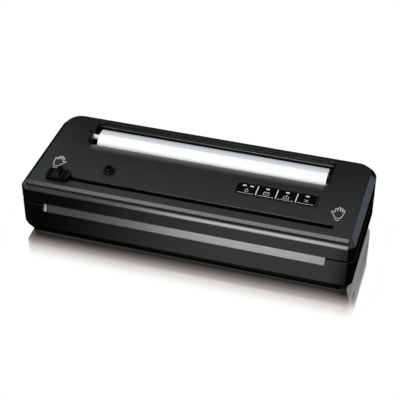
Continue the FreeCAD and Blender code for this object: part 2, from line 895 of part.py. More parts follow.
drip_rim_low = d.deck_top - d.drip_rim_thick
drip_opening = prism("drip_opening", "XY", chamber_outline(d.tray_wall), (deck_under - 1, d.deck_top + 1))
drip_rebate = prism("drip_rebate", "XY", chamber_outline(d.tray_wall + d.drip_rim_width),
                    (drip_rim_low, d.deck_top + 1))
gasket_x = d.chamber_half + d.gasket_set
gasket_y = (-(d.chamber_front + d.gasket_set), -(d.chamber_back - d.gasket_set))
gasket_line = ((-gasket_x, gasket_x), gasket_y)
lower_seat = ring("lower_gasket_seat", *gasket_line, d.gasket_width,
                  (d.deck_top - d.gasket_groove, d.deck_top + 1), d.gasket_corner)
heater_low = d.heater_top - d.heater_high
heater_y = (-d.heater_y - d.heater_width / 2, -d.heater_y + d.heater_width / 2)
heater_x = (-d.heater_half, d.heater_half)
seat_block = box("heater_seat_block", (heater_x[0] - d.tray_wall, heater_x[1] + d.tray_wall),
                 (heater_y[0] - d.tray_wall, heater_y[1] + d.tray_wall),
                 (heater_low - d.tray_wall, d.deck_top))
seat_room = box("heater_seat_room", heater_x, heater_y, (heater_low, d.deck_top + 1))


def hook_slot(name, side, hand, room, z):
    half_x = d.hook_thick / 2 + room
    half_y = d.hook_width / 2 + room
    return box(f"{name}_{hand}", span_of(side, d.hook_x - half_x, d.hook_x + half_x),
               (-d.latch_y - half_y, -d.latch_y + half_y), z)


lip_high = d.liner_bottom - gap
lip_rise = (d.deck_top - 0.5, lip_high)


def side_lip(side, hand):
    span = span_of(side, inner_half - d.lip_set, inner_half - d.lip_set + d.lip_thick)
    return box(f"side_lip_{hand}", span, (-d.latch_y - d.lip_lead, half_depth - d.rear_radius), lip_rise)


rear_lip = box("rear_lip", (-(half_width - d.rear_radius), half_width - d.rear_radius),
               (d.deck_back - d.lip_thick, d.deck_back), lip_rise)
deck_full = fuse("deck_full", deck_plate, bay_outer, seat_block, rear_lip, *both(side_lip))
pilot_span = (deck_under - 1, deck_under + d.screw_bite)
deck_pilots = [cylinder(f"deck_pilot{n}", "z", d.screw_radius, pilot_span, place)
               for n, place in enumerate(boss_places)]
deck_through = (deck_under - 1, d.deck_top + 1)
base_deck = cut("base_deck", deck_full, bay_inner, drip_opening, drip_rebate, lower_seat, seat_room,
                *both(lambda side, hand: hook_slot("deck_slot", side, hand, d.slot_room, deck_through)),
                *deck_pilots)

# Drip tray: the vacuum channel, let into the deck; the nozzle in its floor takes the chamber hose

tray_body = prism("drip_body", "XY", chamber_outline(d.tray_wall), (channel_floor - d.tray_wall, d.deck_top))
drip_rim = prism("drip_rim", "XY", chamber_outline(d.tray_wall + d.drip_rim_width),
                 (drip_rim_low, d.deck_top))
drip_hollow = prism("drip_hollow", "XY", chamber_outline(0), (channel_floor, d.deck_top + 1))
nozzle_place = (d.nozzle_margin - half_width, -(d.chamber_front + d.chamber_back) / 2)
nozzle_low = channel_floor - d.nozzle_length
nozzle_hole = cylinder("nozzle_hole", "z", d.tube_bore, (nozzle_low - 1, channel_floor + 1), nozzle_place)
drip_tray = cut("drip_tray", fuse("drip_filled", tray_body, drip_rim), drip_hollow, nozzle_hole)
nozzle_pipe = cylinder("nozzle_pipe", "z", d.tube_bore, (nozzle_low, channel_floor), nozzle_place)
nozzle_top = channel_floor - d.tray_wall
nozzle_collar = cylinder("nozzle_collar", "z", d.tube_bore + d.nozzle_collar,
                         (nozzle_top - d.nozzle_collar, nozzle_top), nozzle_place)
nozzle_bore = cylinder("nozzle_bore", "z", d.tube_bore - d.nozzle_wall, (nozzle_low - 1, channel_floor + 1),
                       nozzle_place)
drip_nozzle = cut("drip_nozzle", fuse("nozzle_filled", nozzle_pipe, nozzle_collar), nozzle_bore)

# Gasket, heater bar and ribbon on the deck

lower_gasket = ring("lower_gasket", *gasket_line, d.gasket_width,
                    (d.deck_top - d.gasket_groove, d.lower_gasket_top), d.gasket_corner)
ribbon_y = (-d.heater_y - d.ribbon_width / 2, -d.heater_y + d.ribbon_width / 2)
heater_bar = cut("heater_bar", box("heater_block", heater_x, heater_y, (heater_low, d.heater_top)),
                 box("ribbon_groove", (heater_x[0] - 1, heater_x[1] + 1), ribbon_y,
                     (d.heater_top - d.ribbon_thick, d.heater_top + 1)))
heating_ribbon = box("heating_ribbon", heater_x, ribbon_y, (d.heater_top - d.ribbon_thick, d.heater_top))
seal_tape = box("seal_tape", heater_x, heater_y, (d.heater_top, d.heater_top + d.tape_thick))

# Lid frame: bevelled ring with a stepped front ledge, rear knuckles and ribs for the liner

seat_half = half_width - d.bevel - d.frame_land
seat_back = half_depth - d.bevel - d.frame_land
flange_low = panel_under - d.flange_thick
frame_outer = loft("frame_outer", [
    (d.lid_bottom, plan(0)), (top - d.bevel, plan(0)), (top, plan(d.bevel))])
bevel_low = top - d.bevel
frame_hollow = loft("frame_hollow", [
    (d.lid_bottom - 1, plan(d.wall)), (bevel_low - d.hollow_drop, plan(d.wall)),
    (bevel_low - 0.2, plan(d.wall + d.hollow_step)), (flange_low, plan(d.wall + d.hollow_step))])
panel_seat = prism("panel_seat", "XY", tongue(seat_half, -half_depth - 1, seat_back, d.rear_radius - d.bevel),
                   (panel_under, top + 1))
flange_window = prism("flange_window", "XY", tongue(
    seat_half - d.flange_width, -(half_depth - d.bevel - d.flange_width), seat_back - d.flange_width + 2,
    d.rear_radius - d.bevel - 2), (flange_low - 1, panel_under + 1))
lip_front = -(half_depth - d.front_ledge - gap)
lip_back = lip_front + d.panel_thick
slope_low = ledge_top - d.ledge_slope_drop
front_step = prism("front_step", "YZ", [
    (-half_depth - 1, slope_low), (-half_depth, slope_low), (-half_depth + d.ledge_slope, ledge_top),
    (lip_back + 0.2, ledge_top), (lip_back + 0.2, top + 1), (-half_depth - 1, top + 1)],
    (-seat_half, seat_half))
lid_relief = prism("lid_relief", "YZ", [
    (half_depth - d.wall, d.lid_bottom), (half_depth - d.wall, d.lid_bottom - 1),
    (half_depth + 0.5, d.lid_bottom - 1), (half_depth + 0.5, d.lid_bottom + d.wall + 0.5)],
    (-half_width, half_width))


def lid_knuckle(side, hand):
    span = span_of(side, d.hinge_x - d.knuckle_half, d.hinge_x + d.knuckle_half)
    web = box(f"knuckle_web_{hand}", span, (hinge_y - d.barrel_radius, half_depth - d.wall + 0.3),
              (d.hinge_height, liner_top))
    barrel = cylinder(f"knuckle_barrel_{hand}", "x", d.barrel_radius, span, (hinge_y, d.hinge_height))
    return fuse(f"knuckle_{hand}", web, barrel)


def ear_notch(side, hand):
    reach = d.knuckle_half + d.ear_thick + 2 * gap
    return box(f"ear_notch_{hand}", span_of(side, d.hinge_x - reach, d.hinge_x + reach),
               (hinge_y - d.barrel_radius, half_depth + 1),
               (d.lid_bottom - 1, d.hinge_height + d.barrel_radius + 2 * d.slide_gap))


def frame_rib(side, hand):
    return box(f"frame_rib_{hand}", span_of(side, inner_half - d.lid_rib_reach, inner_half + 0.5),
               (-d.lid_rib_half, d.lid_rib_half), (liner_top, bevel_low - d.lid_rib_drop))


frame_ring = cut("frame_ring", frame_outer, frame_hollow, panel_seat, flange_window, front_step, lid_relief,
                 *both(ear_notch))
lid_frame = cut("lid_frame", fuse("frame_filled", frame_ring, *both(lid_knuckle), *both(frame_rib)),
                *both(lambda side, hand: hinge_bore(side, hand, d.pin_radius + d.hinge_fit)))

# Top panel: one plate with the turned-down front lip and all its cut-outs

panel_half = seat_half - d.panel_gap
panel_back = seat_back - d.panel_gap
slope_back = lip_front + d.panel_slope
panel_plate = prism("panel_plate", "XY", tongue(panel_half, slope_back, panel_back,
                                                d.rear_radius - d.bevel - d.panel_gap), (panel_under, top))
panel_lip = prism("panel_lip", "YZ", [
    (lip_front, ledge_top + gap), (lip_back, ledge_top + gap), (lip_back, panel_under),
    (slope_back + 2, panel_under), (slope_back + 2, top), (slope_back, top),
    (lip_front, top - d.panel_slope_drop)], (-panel_half, panel_half))
well_x = (-d.well_left, d.well_right)


def well_outline(reach):
    """Mouth of the well, spread at its two ends by reach times the width of their sloped rims."""
    return rounded((well_x[0] - reach * d.well_flare_left, well_x[1] + reach * d.well_flare_right),
                   (d.well_front, d.well_back), d.well_corner)


well_cut = prism("well_cut", "XY", well_outline(0), (panel_under - 1, top + 1))
well_flare = loft("well_flare",
                  [(top - d.well_flare, well_outline(0)), (top + d.well_flare, well_outline(2))])
notch_room = d.spindle_radius + gap
notch_x = (-(d.spindle_left + gap), 1 - d.well_left)
notch_y = (d.spindle_y - notch_room, d.spindle_y + notch_room)


def spindle_notch(owner):
    """Seat of the spindle's left end, open at the top."""
    round_low = cylinder(f"notch_round_{owner}", "x", notch_room, notch_x, (d.spindle_y, d.spindle_z))
    way = box(f"notch_way_{owner}", notch_x, notch_y, (d.spindle_z, top + 1))
    return fuse(f"spindle_notch_{owner}", round_low, way)


slot_y = (-d.slot_y - d.slot_width / 2, -d.slot_y + d.slot_width / 2)
slot_round = d.slot_width / 2 - 0.1
slot_cut = prism("slot_cut", "XY", rounded((-d.slot_left, d.slot_right), slot_y, slot_round),
                 (panel_under - 1, top + 1))
port_place = (-d.port_x, -d.port_y)
neck = d.port_outer - d.port_shoulder
port_cut = cylinder("port_cut", "z", neck, (panel_under - 1, top + 1), port_place)
bezel_x = (d.panel_left, d.panel_right)
bezel_y = (-d.panel_front, -d.panel_back)
bezel_cut = prism("bezel_cut", "XY", rounded(bezel_x, bezel_y, d.panel_corner), (panel_under - 1, top + 1))
screw_x = half_width - d.lid_screw_margin
screw_y = half_depth - d.lid_screw_middle
lid_screw_places = [(side * screw_x, place) for side in (1, -1)
                    for place in (d.lid_screw_front - half_depth, half_depth - d.lid_screw_rear)]
lid_screw_places += [(d.lid_screw_left - half_width, screw_y), (half_width - d.lid_screw_right, screw_y)]
screw_tip = liner_top + d.lid_screw_bite
panel_bosses = [cylinder(f"panel_boss{n}", "z", d.panel_boss_radius, (liner_top, panel_under + 0.5), place)
                for n, place in enumerate(lid_screw_places)]
panel_pilots = [cylinder(f"panel_pilot{n}", "z", d.screw_radius, (liner_top - 1, screw_tip), place)
                for n, place in enumerate(lid_screw_places)]
top_panel = cut("top_panel", fuse("panel_filled", panel_plate, panel_lip, *panel_bosses),
                well_cut, well_flare, spindle_notch("panel"), slot_cut, port_cut, bezel_cut, *panel_pilots)

# Roll well: a round-bottomed tray hung under the panel, with a shelf at its back

tray_y = (d.well_front + d.well_back) / 2
tray_r = (d.well_back - d.well_front) / 2
tray_z = d.well_floor + tray_r


def trough_outline(radius, rim):
    return [
        (tray_y - radius, rim), (tray_y - radius, tray_z),
        (tray_y, tray_z - radius, tray_y, tray_z), (tray_y + radius, tray_z, tray_y, tray_z),
        (tray_y + radius, rim)]


tray_outer = prism("tray_outer", "YZ", trough_outline(tray_r + d.tray_wall, panel_under),
                   (well_x[0] - d.tray_wall, well_x[1] + d.tray_wall))
tray_inner = prism("tray_inner", "YZ", trough_outline(tray_r, panel_under + 1), well_x)
tray_rim = box("tray_rim", (well_x[0] - d.rim_end, well_x[1] + d.rim_end),
               (d.well_front - d.rim_front, d.well_back + d.rim_back),
               (panel_under - d.tray_wall, panel_under))
shelf_top = top - d.well_shelf_drop
shelf_low = shelf_top - d.well_shelf_thick
nose_y = d.well_back - d.well_shelf
well_shelf = prism("well_shelf", "YZ", [
    (nose_y, shelf_low), (d.well_back + 0.5, shelf_low), (d.well_back + 0.5, shelf_top),
    (nose_y + d.well_shelf_round, shelf_top),
    (nose_y, shelf_top - d.well_shelf_round, nose_y + d.well_shelf_round, shelf_top - d.well_shelf_round)],
    (well_x[0] - 0.5, well_x[1] + 0.5))


# The left end of the spindle lies in a pocket behind the end wall, the right end in a cradle in front of it
pocket_low = d.spindle_z - notch_room - d.pocket_wall
pocket_block = box("pocket_block", (notch_x[0] - d.pocket_wall, 0 - d.well_left - 0.5),
                   (notch_y[0] - d.pocket_wall, notch_y[1] + d.pocket_wall), (pocket_low, panel_under))
cradle_post = box("cradle_post", (d.well_right - d.cradle_thick, d.well_right + 0.5),
                  (d.spindle_y - d.cradle_half, d.spindle_y + d.cradle_half),
                  (d.well_floor - 0.3, d.spindle_z + d.cradle_rise))
cradle_x = (d.well_right - d.cradle_thick - 1, d.well_right)
cradle_round = cylinder("cradle_round", "x", notch_room, cradle_x, (d.spindle_y, d.spindle_z))
cradle_mouth = box("cradle_mouth", cradle_x, notch_y, (d.spindle_z, top))
spindle_cradle = cut("spindle_cradle", cradle_post, cradle_round, cradle_mouth)
open_tray = cut("open_tray", fuse("tray_filled", tray_outer, tray_rim, pocket_block), tray_inner,
                spindle_notch("tray"))
roll_tray = fuse("roll_tray", open_tray, well_shelf, spindle_cradle)

# Lid liner with its gasket, press strip and latch hooks

liner_front = -(half_depth - d.wall - d.liner_front_room)
liner_plate = prism("liner_plate", "XY",
                    tongue(deck_half, liner_front, d.deck_back, deck_round, d.corner_cut),
                    (d.liner_bottom, liner_top))
liner_through = (d.liner_bottom - 1, liner_top + 1)
liner_well = box("liner_well", (well_x[0] - d.liner_well_end, well_x[1] + d.liner_well_end),
                 (d.well_front - d.liner_well_side, half_depth), liner_through)
upper_low = d.lower_gasket_top + gap
upper_seat = ring("upper_gasket_seat", *gasket_line, d.gasket_width,
                  (d.liner_bottom - 1, upper_low + d.upper_gasket_high), d.gasket_corner)
strip_y = (-d.heater_y - d.strip_width / 2, -d.heater_y + d.strip_width / 2)
strip_high = d.liner_bottom + d.strip_seat
strip_room = box("strip_room", heater_x, strip_y, (d.liner_bottom - 1, strip_high))
lid_chamber = prism("lid_chamber", "XY", chamber_outline(0),
                    (d.liner_bottom - 1, d.liner_bottom + d.lid_chamber_deep))
port_drop = cylinder("port_drop", "z", d.port_bore, liner_through, port_place)
head_low = d.liner_bottom + d.lid_screw_sink
head_high = head_low + d.screw_head_thick
liner_holes = [cylinder(f"liner_hole{n}", "z", d.screw_radius, liner_through, place)
               for n, place in enumerate(lid_screw_places)]
liner_sinks = [cylinder(f"liner_sink{n}", "z", d.screw_head, (d.liner_bottom - 1, head_high), place)
               for n, place in enumerate(lid_screw_places)]
lid_liner = cut("lid_liner", liner_plate, liner_well, upper_seat, strip_room, lid_chamber, port_drop,
                *both(lambda side, hand: hook_slot("liner_slot", side, hand, 0, liner_through)),
                *liner_holes, *liner_sinks)
upper_gasket = ring("upper_gasket", *gasket_line, d.gasket_width,
                    (upper_low, upper_low + d.upper_gasket_high), d.gasket_corner)
press_strip = box("press_strip", heater_x, strip_y, (d.heater_top + d.tape_thick + gap, strip_high))
lid_screws = group("lid_screws", *[
    screw(f"lid_screw{n}", place, head_low, head_high, screw_tip)
    for n, place in enumerate(lid_screw_places)])
hook_low = plate_high + d.slide_gap


def latch_hook(side, hand):
    stem = hook_slot("hook_stem", side, hand, 0, (hook_low, liner_top + 1))
    foot = hook_slot("hook_foot", side, hand, d.hook_foot, (liner_top, liner_top + d.hook_foot_thick))
    inner = d.hook_x - d.hook_thick / 2
    barb_tip = side * (inner - d.barb)
    barb = prism(f"hook_barb_{hand}", "XZ", [
        (side * inner, hook_low), (side * inner, hook_low + d.barb_rise),
        (barb_tip, hook_low + 0.6 * d.barb_rise), (barb_tip, hook_low + 0.4 * d.barb_rise)],
        (-d.latch_y - d.hook_width / 2, -d.latch_y + d.hook_width / 2))
    return fuse(f"hook_{hand}", stem, foot, barb)


latch_hooks = group("latch_hooks", *both(latch_hook))

# Release buttons in the ends of the base, with their catch plates and springs


def release_button(side, hand):
    low, high = d.button_z - d.button_high / 2, d.button_z + d.button_high / 2
    near_y, far_y = -d.latch_y - d.button_width / 2, -d.latch_y + d.button_width / 2
    cap = prism(f"release_cap_{hand}", "YZ", rounded((near_y, far_y), (low, high), d.button_corner),
                span_of(side, inner_half - d.collar_thick, half_width + d.button_proud))
    outer_face = side * (half_width + d.button_proud)
    dress(cap, "Fillet", d.button_round, lambda edge, middle: near(edge.BoundBox.XMin, outer_face) and
          near(edge.BoundBox.XMax, outer_face))
    collar = box(f"release_collar_{hand}", span_of(side, inner_half - d.collar_thick, inner_half - gap),
                 (near_y - d.collar_side, far_y + d.collar_side), (low - d.collar_edge, high + d.collar_edge))
    return fuse(f"release_button_{hand}", cap, collar)


def latch_catch(side, hand):
    plate = box(f"catch_plate_{hand}", span_of(side, slider_end, inner_half - d.collar_thick),
                (-d.latch_y - d.catch_half, -d.latch_y + d.catch_half), (plate_low, plate_high))
    room = d.hook_width / 2 + d.catch_room
    window = box(f"catch_window_{hand}", span_of(
        side, d.hook_x - d.hook_thick / 2 - gap, d.hook_x + d.hook_thick / 2 + d.button_travel + gap),
        (-d.latch_y - room, -d.latch_y + room), (plate_low - 1, plate_high + 1))
    lug_half = d.catch_lug / 2
    lug = box(f"catch_lug_{hand}", span_of(side, slider_end, slider_end + d.catch_thick),
              (-d.latch_y - lug_half, -d.latch_y + lug_half), (d.button_z - lug_half, d.button_z + lug_half))
    return fuse(f"latch_catch_{hand}", cut(f"catch_open_{hand}", plate, window), lug)


def latch_spring(side, hand):
    turns = 5
    length = d.spring_room - 2 * d.spring_wire
    helix = doc.addObject("Part::Helix", f"spring_line_{hand}")
    bind(helix, "Radius", d.spring_radius)
    bind(helix, "Height", length)
    bind(helix, "Pitch", length / turns)
    wire = doc.addObject("Part::Circle", f"spring_wire_{hand}")
    bind(wire, "Radius", d.spring_wire)
    start = post_face + d.spring_wire if side > 0 else -(dim(slider_end) - d.spring_wire)
    seat = FreeCAD.Placement(FreeCAD.Vector(start.value, -d.latch_y.value, d.button_z.value), TURNS["x"])
    helix.Placement = seat
    lay = FreeCAD.Rotation(FreeCAD.Vector(1, 0, 0), 90)
    wire.Placement = seat.multiply(FreeCAD.Placement(FreeCAD.Vector(d.spring_radius.value, 0, 0), lay))
    coil = doc.addObject("Part::Sweep", f"latch_spring_{hand}")
    coil.Sections = [wire]
    doc.recompute()
    coil.Spine = (helix, [f"Edge{n}" for n in range(1, len(helix.Shape.Edges) + 1)])
    coil.Solid = True
    coil.Frenet = True
    return coil


release_buttons = both(release_button)
latch_catches = both(latch_catch)
latch_springs = both(latch_spring)

# Spindle and film roll: the roll hangs on the thin spindle by the bore of its core

spindle = cylinder("roll_spindle", "x", d.spindle_radius, (-d.spindle_left, d.spindle_right),
                   (d.spindle_y, d.spindle_z))
roll_z = d.spindle_z + d.spindle_radius + gap - d.core_bore
roll_span = (d.roll_shift - d.roll_length / 2, d.roll_shift + d.roll_length / 2)
roll_place = (d.spindle_y, roll_z)
roll_core = tube("roll_core", "x", d.core_bore + d.core_thick, d.core_bore, roll_span, roll_place)
film_roll = tube("film_roll", "x", d.roll_radius, d.core_bore + d.core_thick, roll_span, roll_place)

# Film cutter: rail in the panel slot, knob above it, carriage and blade below

rail_low = panel_under - d.rail_drop
slit_y = (-d.slot_y - d.rail_slit / 2, -d.slot_y + d.rail_slit / 2)
rail_bar = prism("rail_bar", "XY", rounded((-d.slot_left, d.slot_right), slot_y, slot_round),
                 (rail_low, top - d.rail_sink))
rail_foot = box("rail_foot", (-d.slot_left, d.slot_right),
                (slot_y[0] - d.rail_flange, slot_y[1] + d.rail_flange),
                (panel_under - d.rail_flange_thick, panel_under))
rail_slot = box("rail_slot", (d.slit_inset - d.slot_left, d.slot_right - d.slit_inset), slit_y,
                (rail_low - 1, top + 1))
cutter_rail = cut("cutter_rail", fuse("rail_filled", rail_bar, rail_foot), rail_slot)

knob_low = top + d.knob_lift
knob_x = (-d.cutter_x - d.knob_length / 2, -d.cutter_x + d.knob_length / 2)
knob_y = (-d.slot_y - d.knob_width / 2, -d.slot_y + d.knob_width / 2)
knob_top = knob_low + d.knob_high
fin_top = knob_low + d.fin_high
knob_body = prism("knob_body", "XY", rounded(knob_x, knob_y, d.knob_corner), (knob_low, knob_top))
dress(knob_body, "Fillet", d.knob_round, lambda edge, middle: near(edge.BoundBox.ZMin, knob_top))
fin_x = (-d.cutter_x - d.fin_width / 2, -d.cutter_x + d.fin_width / 2)
fin_front = knob_y[0] + d.knob_lift * 2
knob_fin = prism("knob_fin", "YZ", [
    (fin_front, knob_low + 1), (knob_y[1] - d.knob_lift, knob_low + 1),
    (knob_y[1] + d.knob_lift, fin_top - d.knob_round), (knob_y[1] - d.knob_round, fin_top),
    (fin_front + d.fin_slope, fin_top), (fin_front, knob_top)], fin_x)
dress(knob_fin, "Fillet", d.fin_round, lambda edge, middle: middle.z > knob_low.value + 3 and
      edge.BoundBox.XLength < 0.01)
thumb_z = knob_top + d.thumb_radius - d.thumb_deep
thumb_hollows = [cylinder(f"thumb_hollow_{name}", "y", d.thumb_radius, (knob_y[0] - 2, knob_y[1] + 2),
                          (shift - d.cutter_x, thumb_z))
                 for name, shift in (("left", -d.thumb_shift), ("right", d.thumb_shift))]
carriage_top = rail_low - gap
knob_shank = box("knob_shank", (-d.cutter_x - d.shank_back, -d.cutter_x + d.shank_front),
                 (-d.slot_y - d.shank_thick / 2, -d.slot_y + d.shank_thick / 2), (carriage_top, knob_low + 1))
cutter_knob = fuse("cutter_knob", cut("knob_pads", knob_body, *thumb_hollows), knob_fin, knob_shank)
cutter_carriage = prism("cutter_carriage", "XY", rounded(
    (-d.cutter_x - d.carriage_half, -d.cutter_x + d.carriage_half),
    (-d.slot_y - d.carriage_width / 2, -d.slot_y + d.carriage_width / 2), d.knob_round),
    (carriage_top - d.carriage_thick, carriage_top))
blade_x = d.shank_front - d.cutter_x
cutter_blade = prism("cutter_blade", "XZ", [
    (blade_x, carriage_top), (blade_x + d.blade_length, carriage_top), (blade_x + d.blade_tip, knob_low),
    (blade_x, knob_low)], (-d.slot_y - d.blade_thick / 2, -d.slot_y + d.blade_thick / 2))

# Hose port: two turned steps above the panel, a nut and a sleeve below it

barb_radius = d.port_bore + d.port_barb_wall
barb_low = liner_top + d.port_barb_gap
thread_low = panel_under - d.port_thread
socket_floor = top + d.socket_lift
step_top = top + d.port_step
port_top = step_top + d.port_step
hose_port = revolve("hose_port", [
    (d.port_throat, barb_low), (barb_radius, barb_low), (barb_radius, thread_low), (neck, thread_low),
    (neck, top), (d.port_outer, top), (d.port_outer, step_top - d.port_edge),
    (d.port_outer - d.port_edge, step_top), (d.port_inner, step_top),
    (d.port_inner, port_top - d.port_edge), (d.port_inner - d.port_edge, port_top),
    (d.port_bore, port_top), (d.port_bore, socket_floor), (d.port_throat, socket_floor)], *port_place)
port_nut = tube("port_nut", "z", d.port_outer + d.nut_width, neck, (panel_under - d.nut_thick, panel_under),
                port_place)
port_sleeve = tube("port_sleeve", "z", barb_radius + d.sleeve_wall, barb_radius, (liner_top, thread_low - 1),
                   port_place)

# Control panel: sunk bezel with sloped rims, four keys with lamps, dividers and the board

sink_floor = top - d.panel_sink
bezel_low = panel_under - d.bezel_flange_thick
bezel_body = prism("bezel_body", "XY", rounded(bezel_x, bezel_y, d.panel_corner), (panel_under, top))
flange_x = (bezel_x[0] - d.bezel_flange, bezel_x[1] + d.bezel_flange)
flange_y = (bezel_y[0] - d.bezel_flange, bezel_y[1] + d.bezel_flange_back)
bezel_foot = box("bezel_foot", flange_x, flange_y, (bezel_low, panel_under))
sink = loft("bezel_sink", [
    (sink_floor, rounded((bezel_x[0] + d.bezel_end_slope, bezel_x[1] - d.bezel_end_slope),
                         (bezel_y[0] + d.bezel_front_slope, bezel_y[1] - d.bezel_back_slope),
                         d.panel_corner / 2)),
    (top + 0.2, rounded((bezel_x[0] + d.bezel_rim, bezel_x[1] - d.bezel_rim),
                        (bezel_y[0] + d.bezel_rim, bezel_y[1] - d.bezel_rim), d.panel_corner - d.bezel_rim))])
key_places = [d.key_first + n * d.key_pitch for n in range(4)]
key_y = (-d.key_y - d.key_depth / 2, -d.key_y + d.key_depth / 2)


def key_span(middle, room):
    return (middle - d.key_width / 2 - room, middle + d.key_width / 2 + room)


key_windows = [box(f"key_window{n}", key_span(middle, gap), (key_y[0] - gap, key_y[1] + gap),
                   (bezel_low - 1, top + 1)) for n, middle in enumerate(key_places)]
board_top = bezel_low - d.board_drop
leg_places = [(x, y) for x in (flange_x[0], flange_x[1] - d.leg_width)
              for y in (flange_y[0], flange_y[1] - d.leg_width)]
board_legs = [box(f"board_leg{n}", (x, x + d.leg_width), (y, y + d.leg_width), (board_top, bezel_low))
              for n, (x, y) in enumerate(leg_places)]
bezel_filled = fuse("bezel_filled", bezel_body, bezel_foot, *board_legs)
control_bezel = cut("control_bezel", bezel_filled, sink, *key_windows)
divider_places = [(one + other) / 2 for one, other in zip(key_places, key_places[1:])]
key_dividers = group("key_dividers", *[
    box(f"divider{n}", (middle - d.divider_width / 2, middle + d.divider_width / 2),
        (-d.key_y - d.divider_length / 2, -d.key_y + d.divider_length / 2),
        (sink_floor, top - d.divider_sink))
    for n, middle in enumerate(divider_places)])
control_board = box("control_board", flange_x, flange_y, (board_top - d.board_thick, board_top))
switch_half = d.switch_width / 2
pip_top = board_top + d.pip_high


def tact_switch(n, middle):
    case = box(f"switch_case{n}", (middle - switch_half, middle + switch_half),
               (-d.key_y - switch_half, -d.key_y + switch_half), (board_top, board_top + d.switch_high))
    pip = cylinder(f"switch_pip{n}", "z", d.pip_radius, (board_top + 1, pip_top), (middle, -d.key_y))
    return fuse(f"switch{n}", case, pip)


tact_switches = group("tact_switches", *[tact_switch(n, middle) for n, middle in enumerate(key_places)])
key_top = top - d.key_sink
key_low = pip_top + d.key_travel + gap
lamp_y = (-d.lamp_y - d.lamp_depth / 2, -d.lamp_y + d.lamp_depth / 2)
lamp_low = key_top - d.lamp_deep
lamp_shifts = {0: (-d.lamp_pair / 2, d.lamp_pair / 2), 1: (0,), 2: (0,), 3: (0,)}


def lamp_span(middle, shift):
    return (middle + shift - d.lamp_width / 2, middle + shift + d.lamp_width / 2)


keys = []
key_lamps = []
for n, middle in enumerate(key_places):
    cap = prism(f"key_cap{n + 1}", "XY", rounded(key_span(middle, 0), key_y, d.key_corner),
                (key_low, key_top))
    dress(cap, "Fillet", d.key_round, lambda edge, point: near(edge.BoundBox.ZMin, key_top))
    pockets = [box(f"lamp_pocket{n + 1}_{i}", lamp_span(middle, shift), lamp_y, (lamp_low, key_top + 1))
               for i, shift in enumerate(lamp_shifts[n])]
    keys.append(cut(f"key_{n + 1}", cap, *pockets))
    key_lamps.append(group(f"key_lamp_{n + 1}", *[
        box(f"lamp{n + 1}_{i}", lamp_span(middle, shift), lamp_y, (lamp_low, key_top))
        for i, shift in enumerate(lamp_shifts[n])]))

# Inside the base: pump, valve, transformer, board, tubing, lid switch and mains inlet

pump_y = d.pump_set - half_depth
motor_x = (motor_start, motor_start + d.motor_length)
motor_can = cylinder("motor_can", "x", d.motor_radius, motor_x, (pump_y, d.pump_z))
motor_nose = cylinder("motor_nose_boss", "x", d.motor_nose,
                      (motor_x[0] - d.motor_nose_length, motor_x[0] + 1),
                      (pump_y, d.pump_z))
pump_motor = fuse("pump_motor", motor_can, motor_nose)
head_x = (motor_x[1], motor_x[1] + d.head_length)
head_y = (pump_y - d.head_half, pump_y + d.head_half)
head_top = d.pump_z + d.head_rise
head_outline = rounded(head_y, (d.pump_z - d.head_half, head_top), d.head_corner)
head_block = prism("head_block", "YZ", head_outline, head_x)
pipe_x = (head_x[0] + d.pipe_first, head_x[0] + d.pipe_first + d.pipe_pitch)
port_pipes = [cylinder(f"pump_pipe{n}", "z", d.tube_bore, (head_top - 1, d.pump_z + d.pipe_rise), (x, pump_y))
              for n, x in enumerate(pipe_x)]
pump_head = fuse("pump_head", head_block, *port_pipes)
mount_room = cylinder("mount_room", "x", d.motor_radius, (motor_x[0] - 5, motor_x[1] + 5), (pump_y, d.pump_z))
mount_x = (motor_x[0] + d.mount_inset, motor_x[1] - d.mount_inset_head - d.mount_thick)
pump_mounts = group("pump_mounts", *[
    cut(f"pump_mount{n}", box(f"mount_block{n}", (x, x + d.mount_thick), head_y,
                              (floor_top, d.pump_z - d.mount_drop)), mount_room)
    for n, x in enumerate(mount_x)])
valve_x = (d.valve_margin - half_width, d.valve_margin - half_width + d.valve_length)
valve_middle = valve_x[0] + d.valve_length / 2
valve_y = (pump_y - d.valve_length / 2, pump_y + d.valve_length / 2)
valve_top = floor_top + d.valve_high
valve_coil = box("valve_coil", valve_x, valve_y, (floor_top, valve_top))
valve_plunger = cylinder("valve_plunger", "z", d.plunger_radius, (valve_top - 1, floor_top + d.plunger_high),
                         (valve_middle, pump_y))
vent_valve = fuse("vent_valve", valve_coil, valve_plunger)
core_x = (half_width - d.core_margin, half_width - d.core_margin + d.core_length)
core_y = (pump_y - d.core_half, pump_y + d.core_half)
core_stack = box("core_stack", core_x, core_y, (floor_top, floor_top + d.core_high))
window_z = (floor_top + d.core_leg, floor_top + d.core_high - d.core_leg)
window_x = (core_x[0] + d.core_leg, core_x[1] - d.core_leg)
middle_leg = (window_x[0] + d.core_window, window_x[1] - d.core_window)
window_spans = [(window_x[0], middle_leg[0]), (middle_leg[1], window_x[1])]
core_windows = [box(f"core_window{n}", span, (core_y[0] - 1, core_y[1] + 1), window_z)
                for n, span in enumerate(window_spans)]
transformer_core = cut("transformer_core", core_stack, *core_windows)
winding_block = box("winding_block", window_x, (pump_y - d.winding_front, pump_y + d.winding_back), window_z)
winding_room = box("winding_room", middle_leg, core_y, (window_z[0] - 1, window_z[1] + 1))
transformer_winding = cut("transformer_winding", winding_block, winding_room)
board_level = board_low + d.board_thick
power_board = box("power_board", board_x, board_y, (board_low, board_level))


def on_board(name, x, y, length, depth, high):
    return box(name, (board_x[0] + x, board_x[0] + x + length), (board_y[0] + y, board_y[0] + y + depth),
               (board_level, board_level + high))


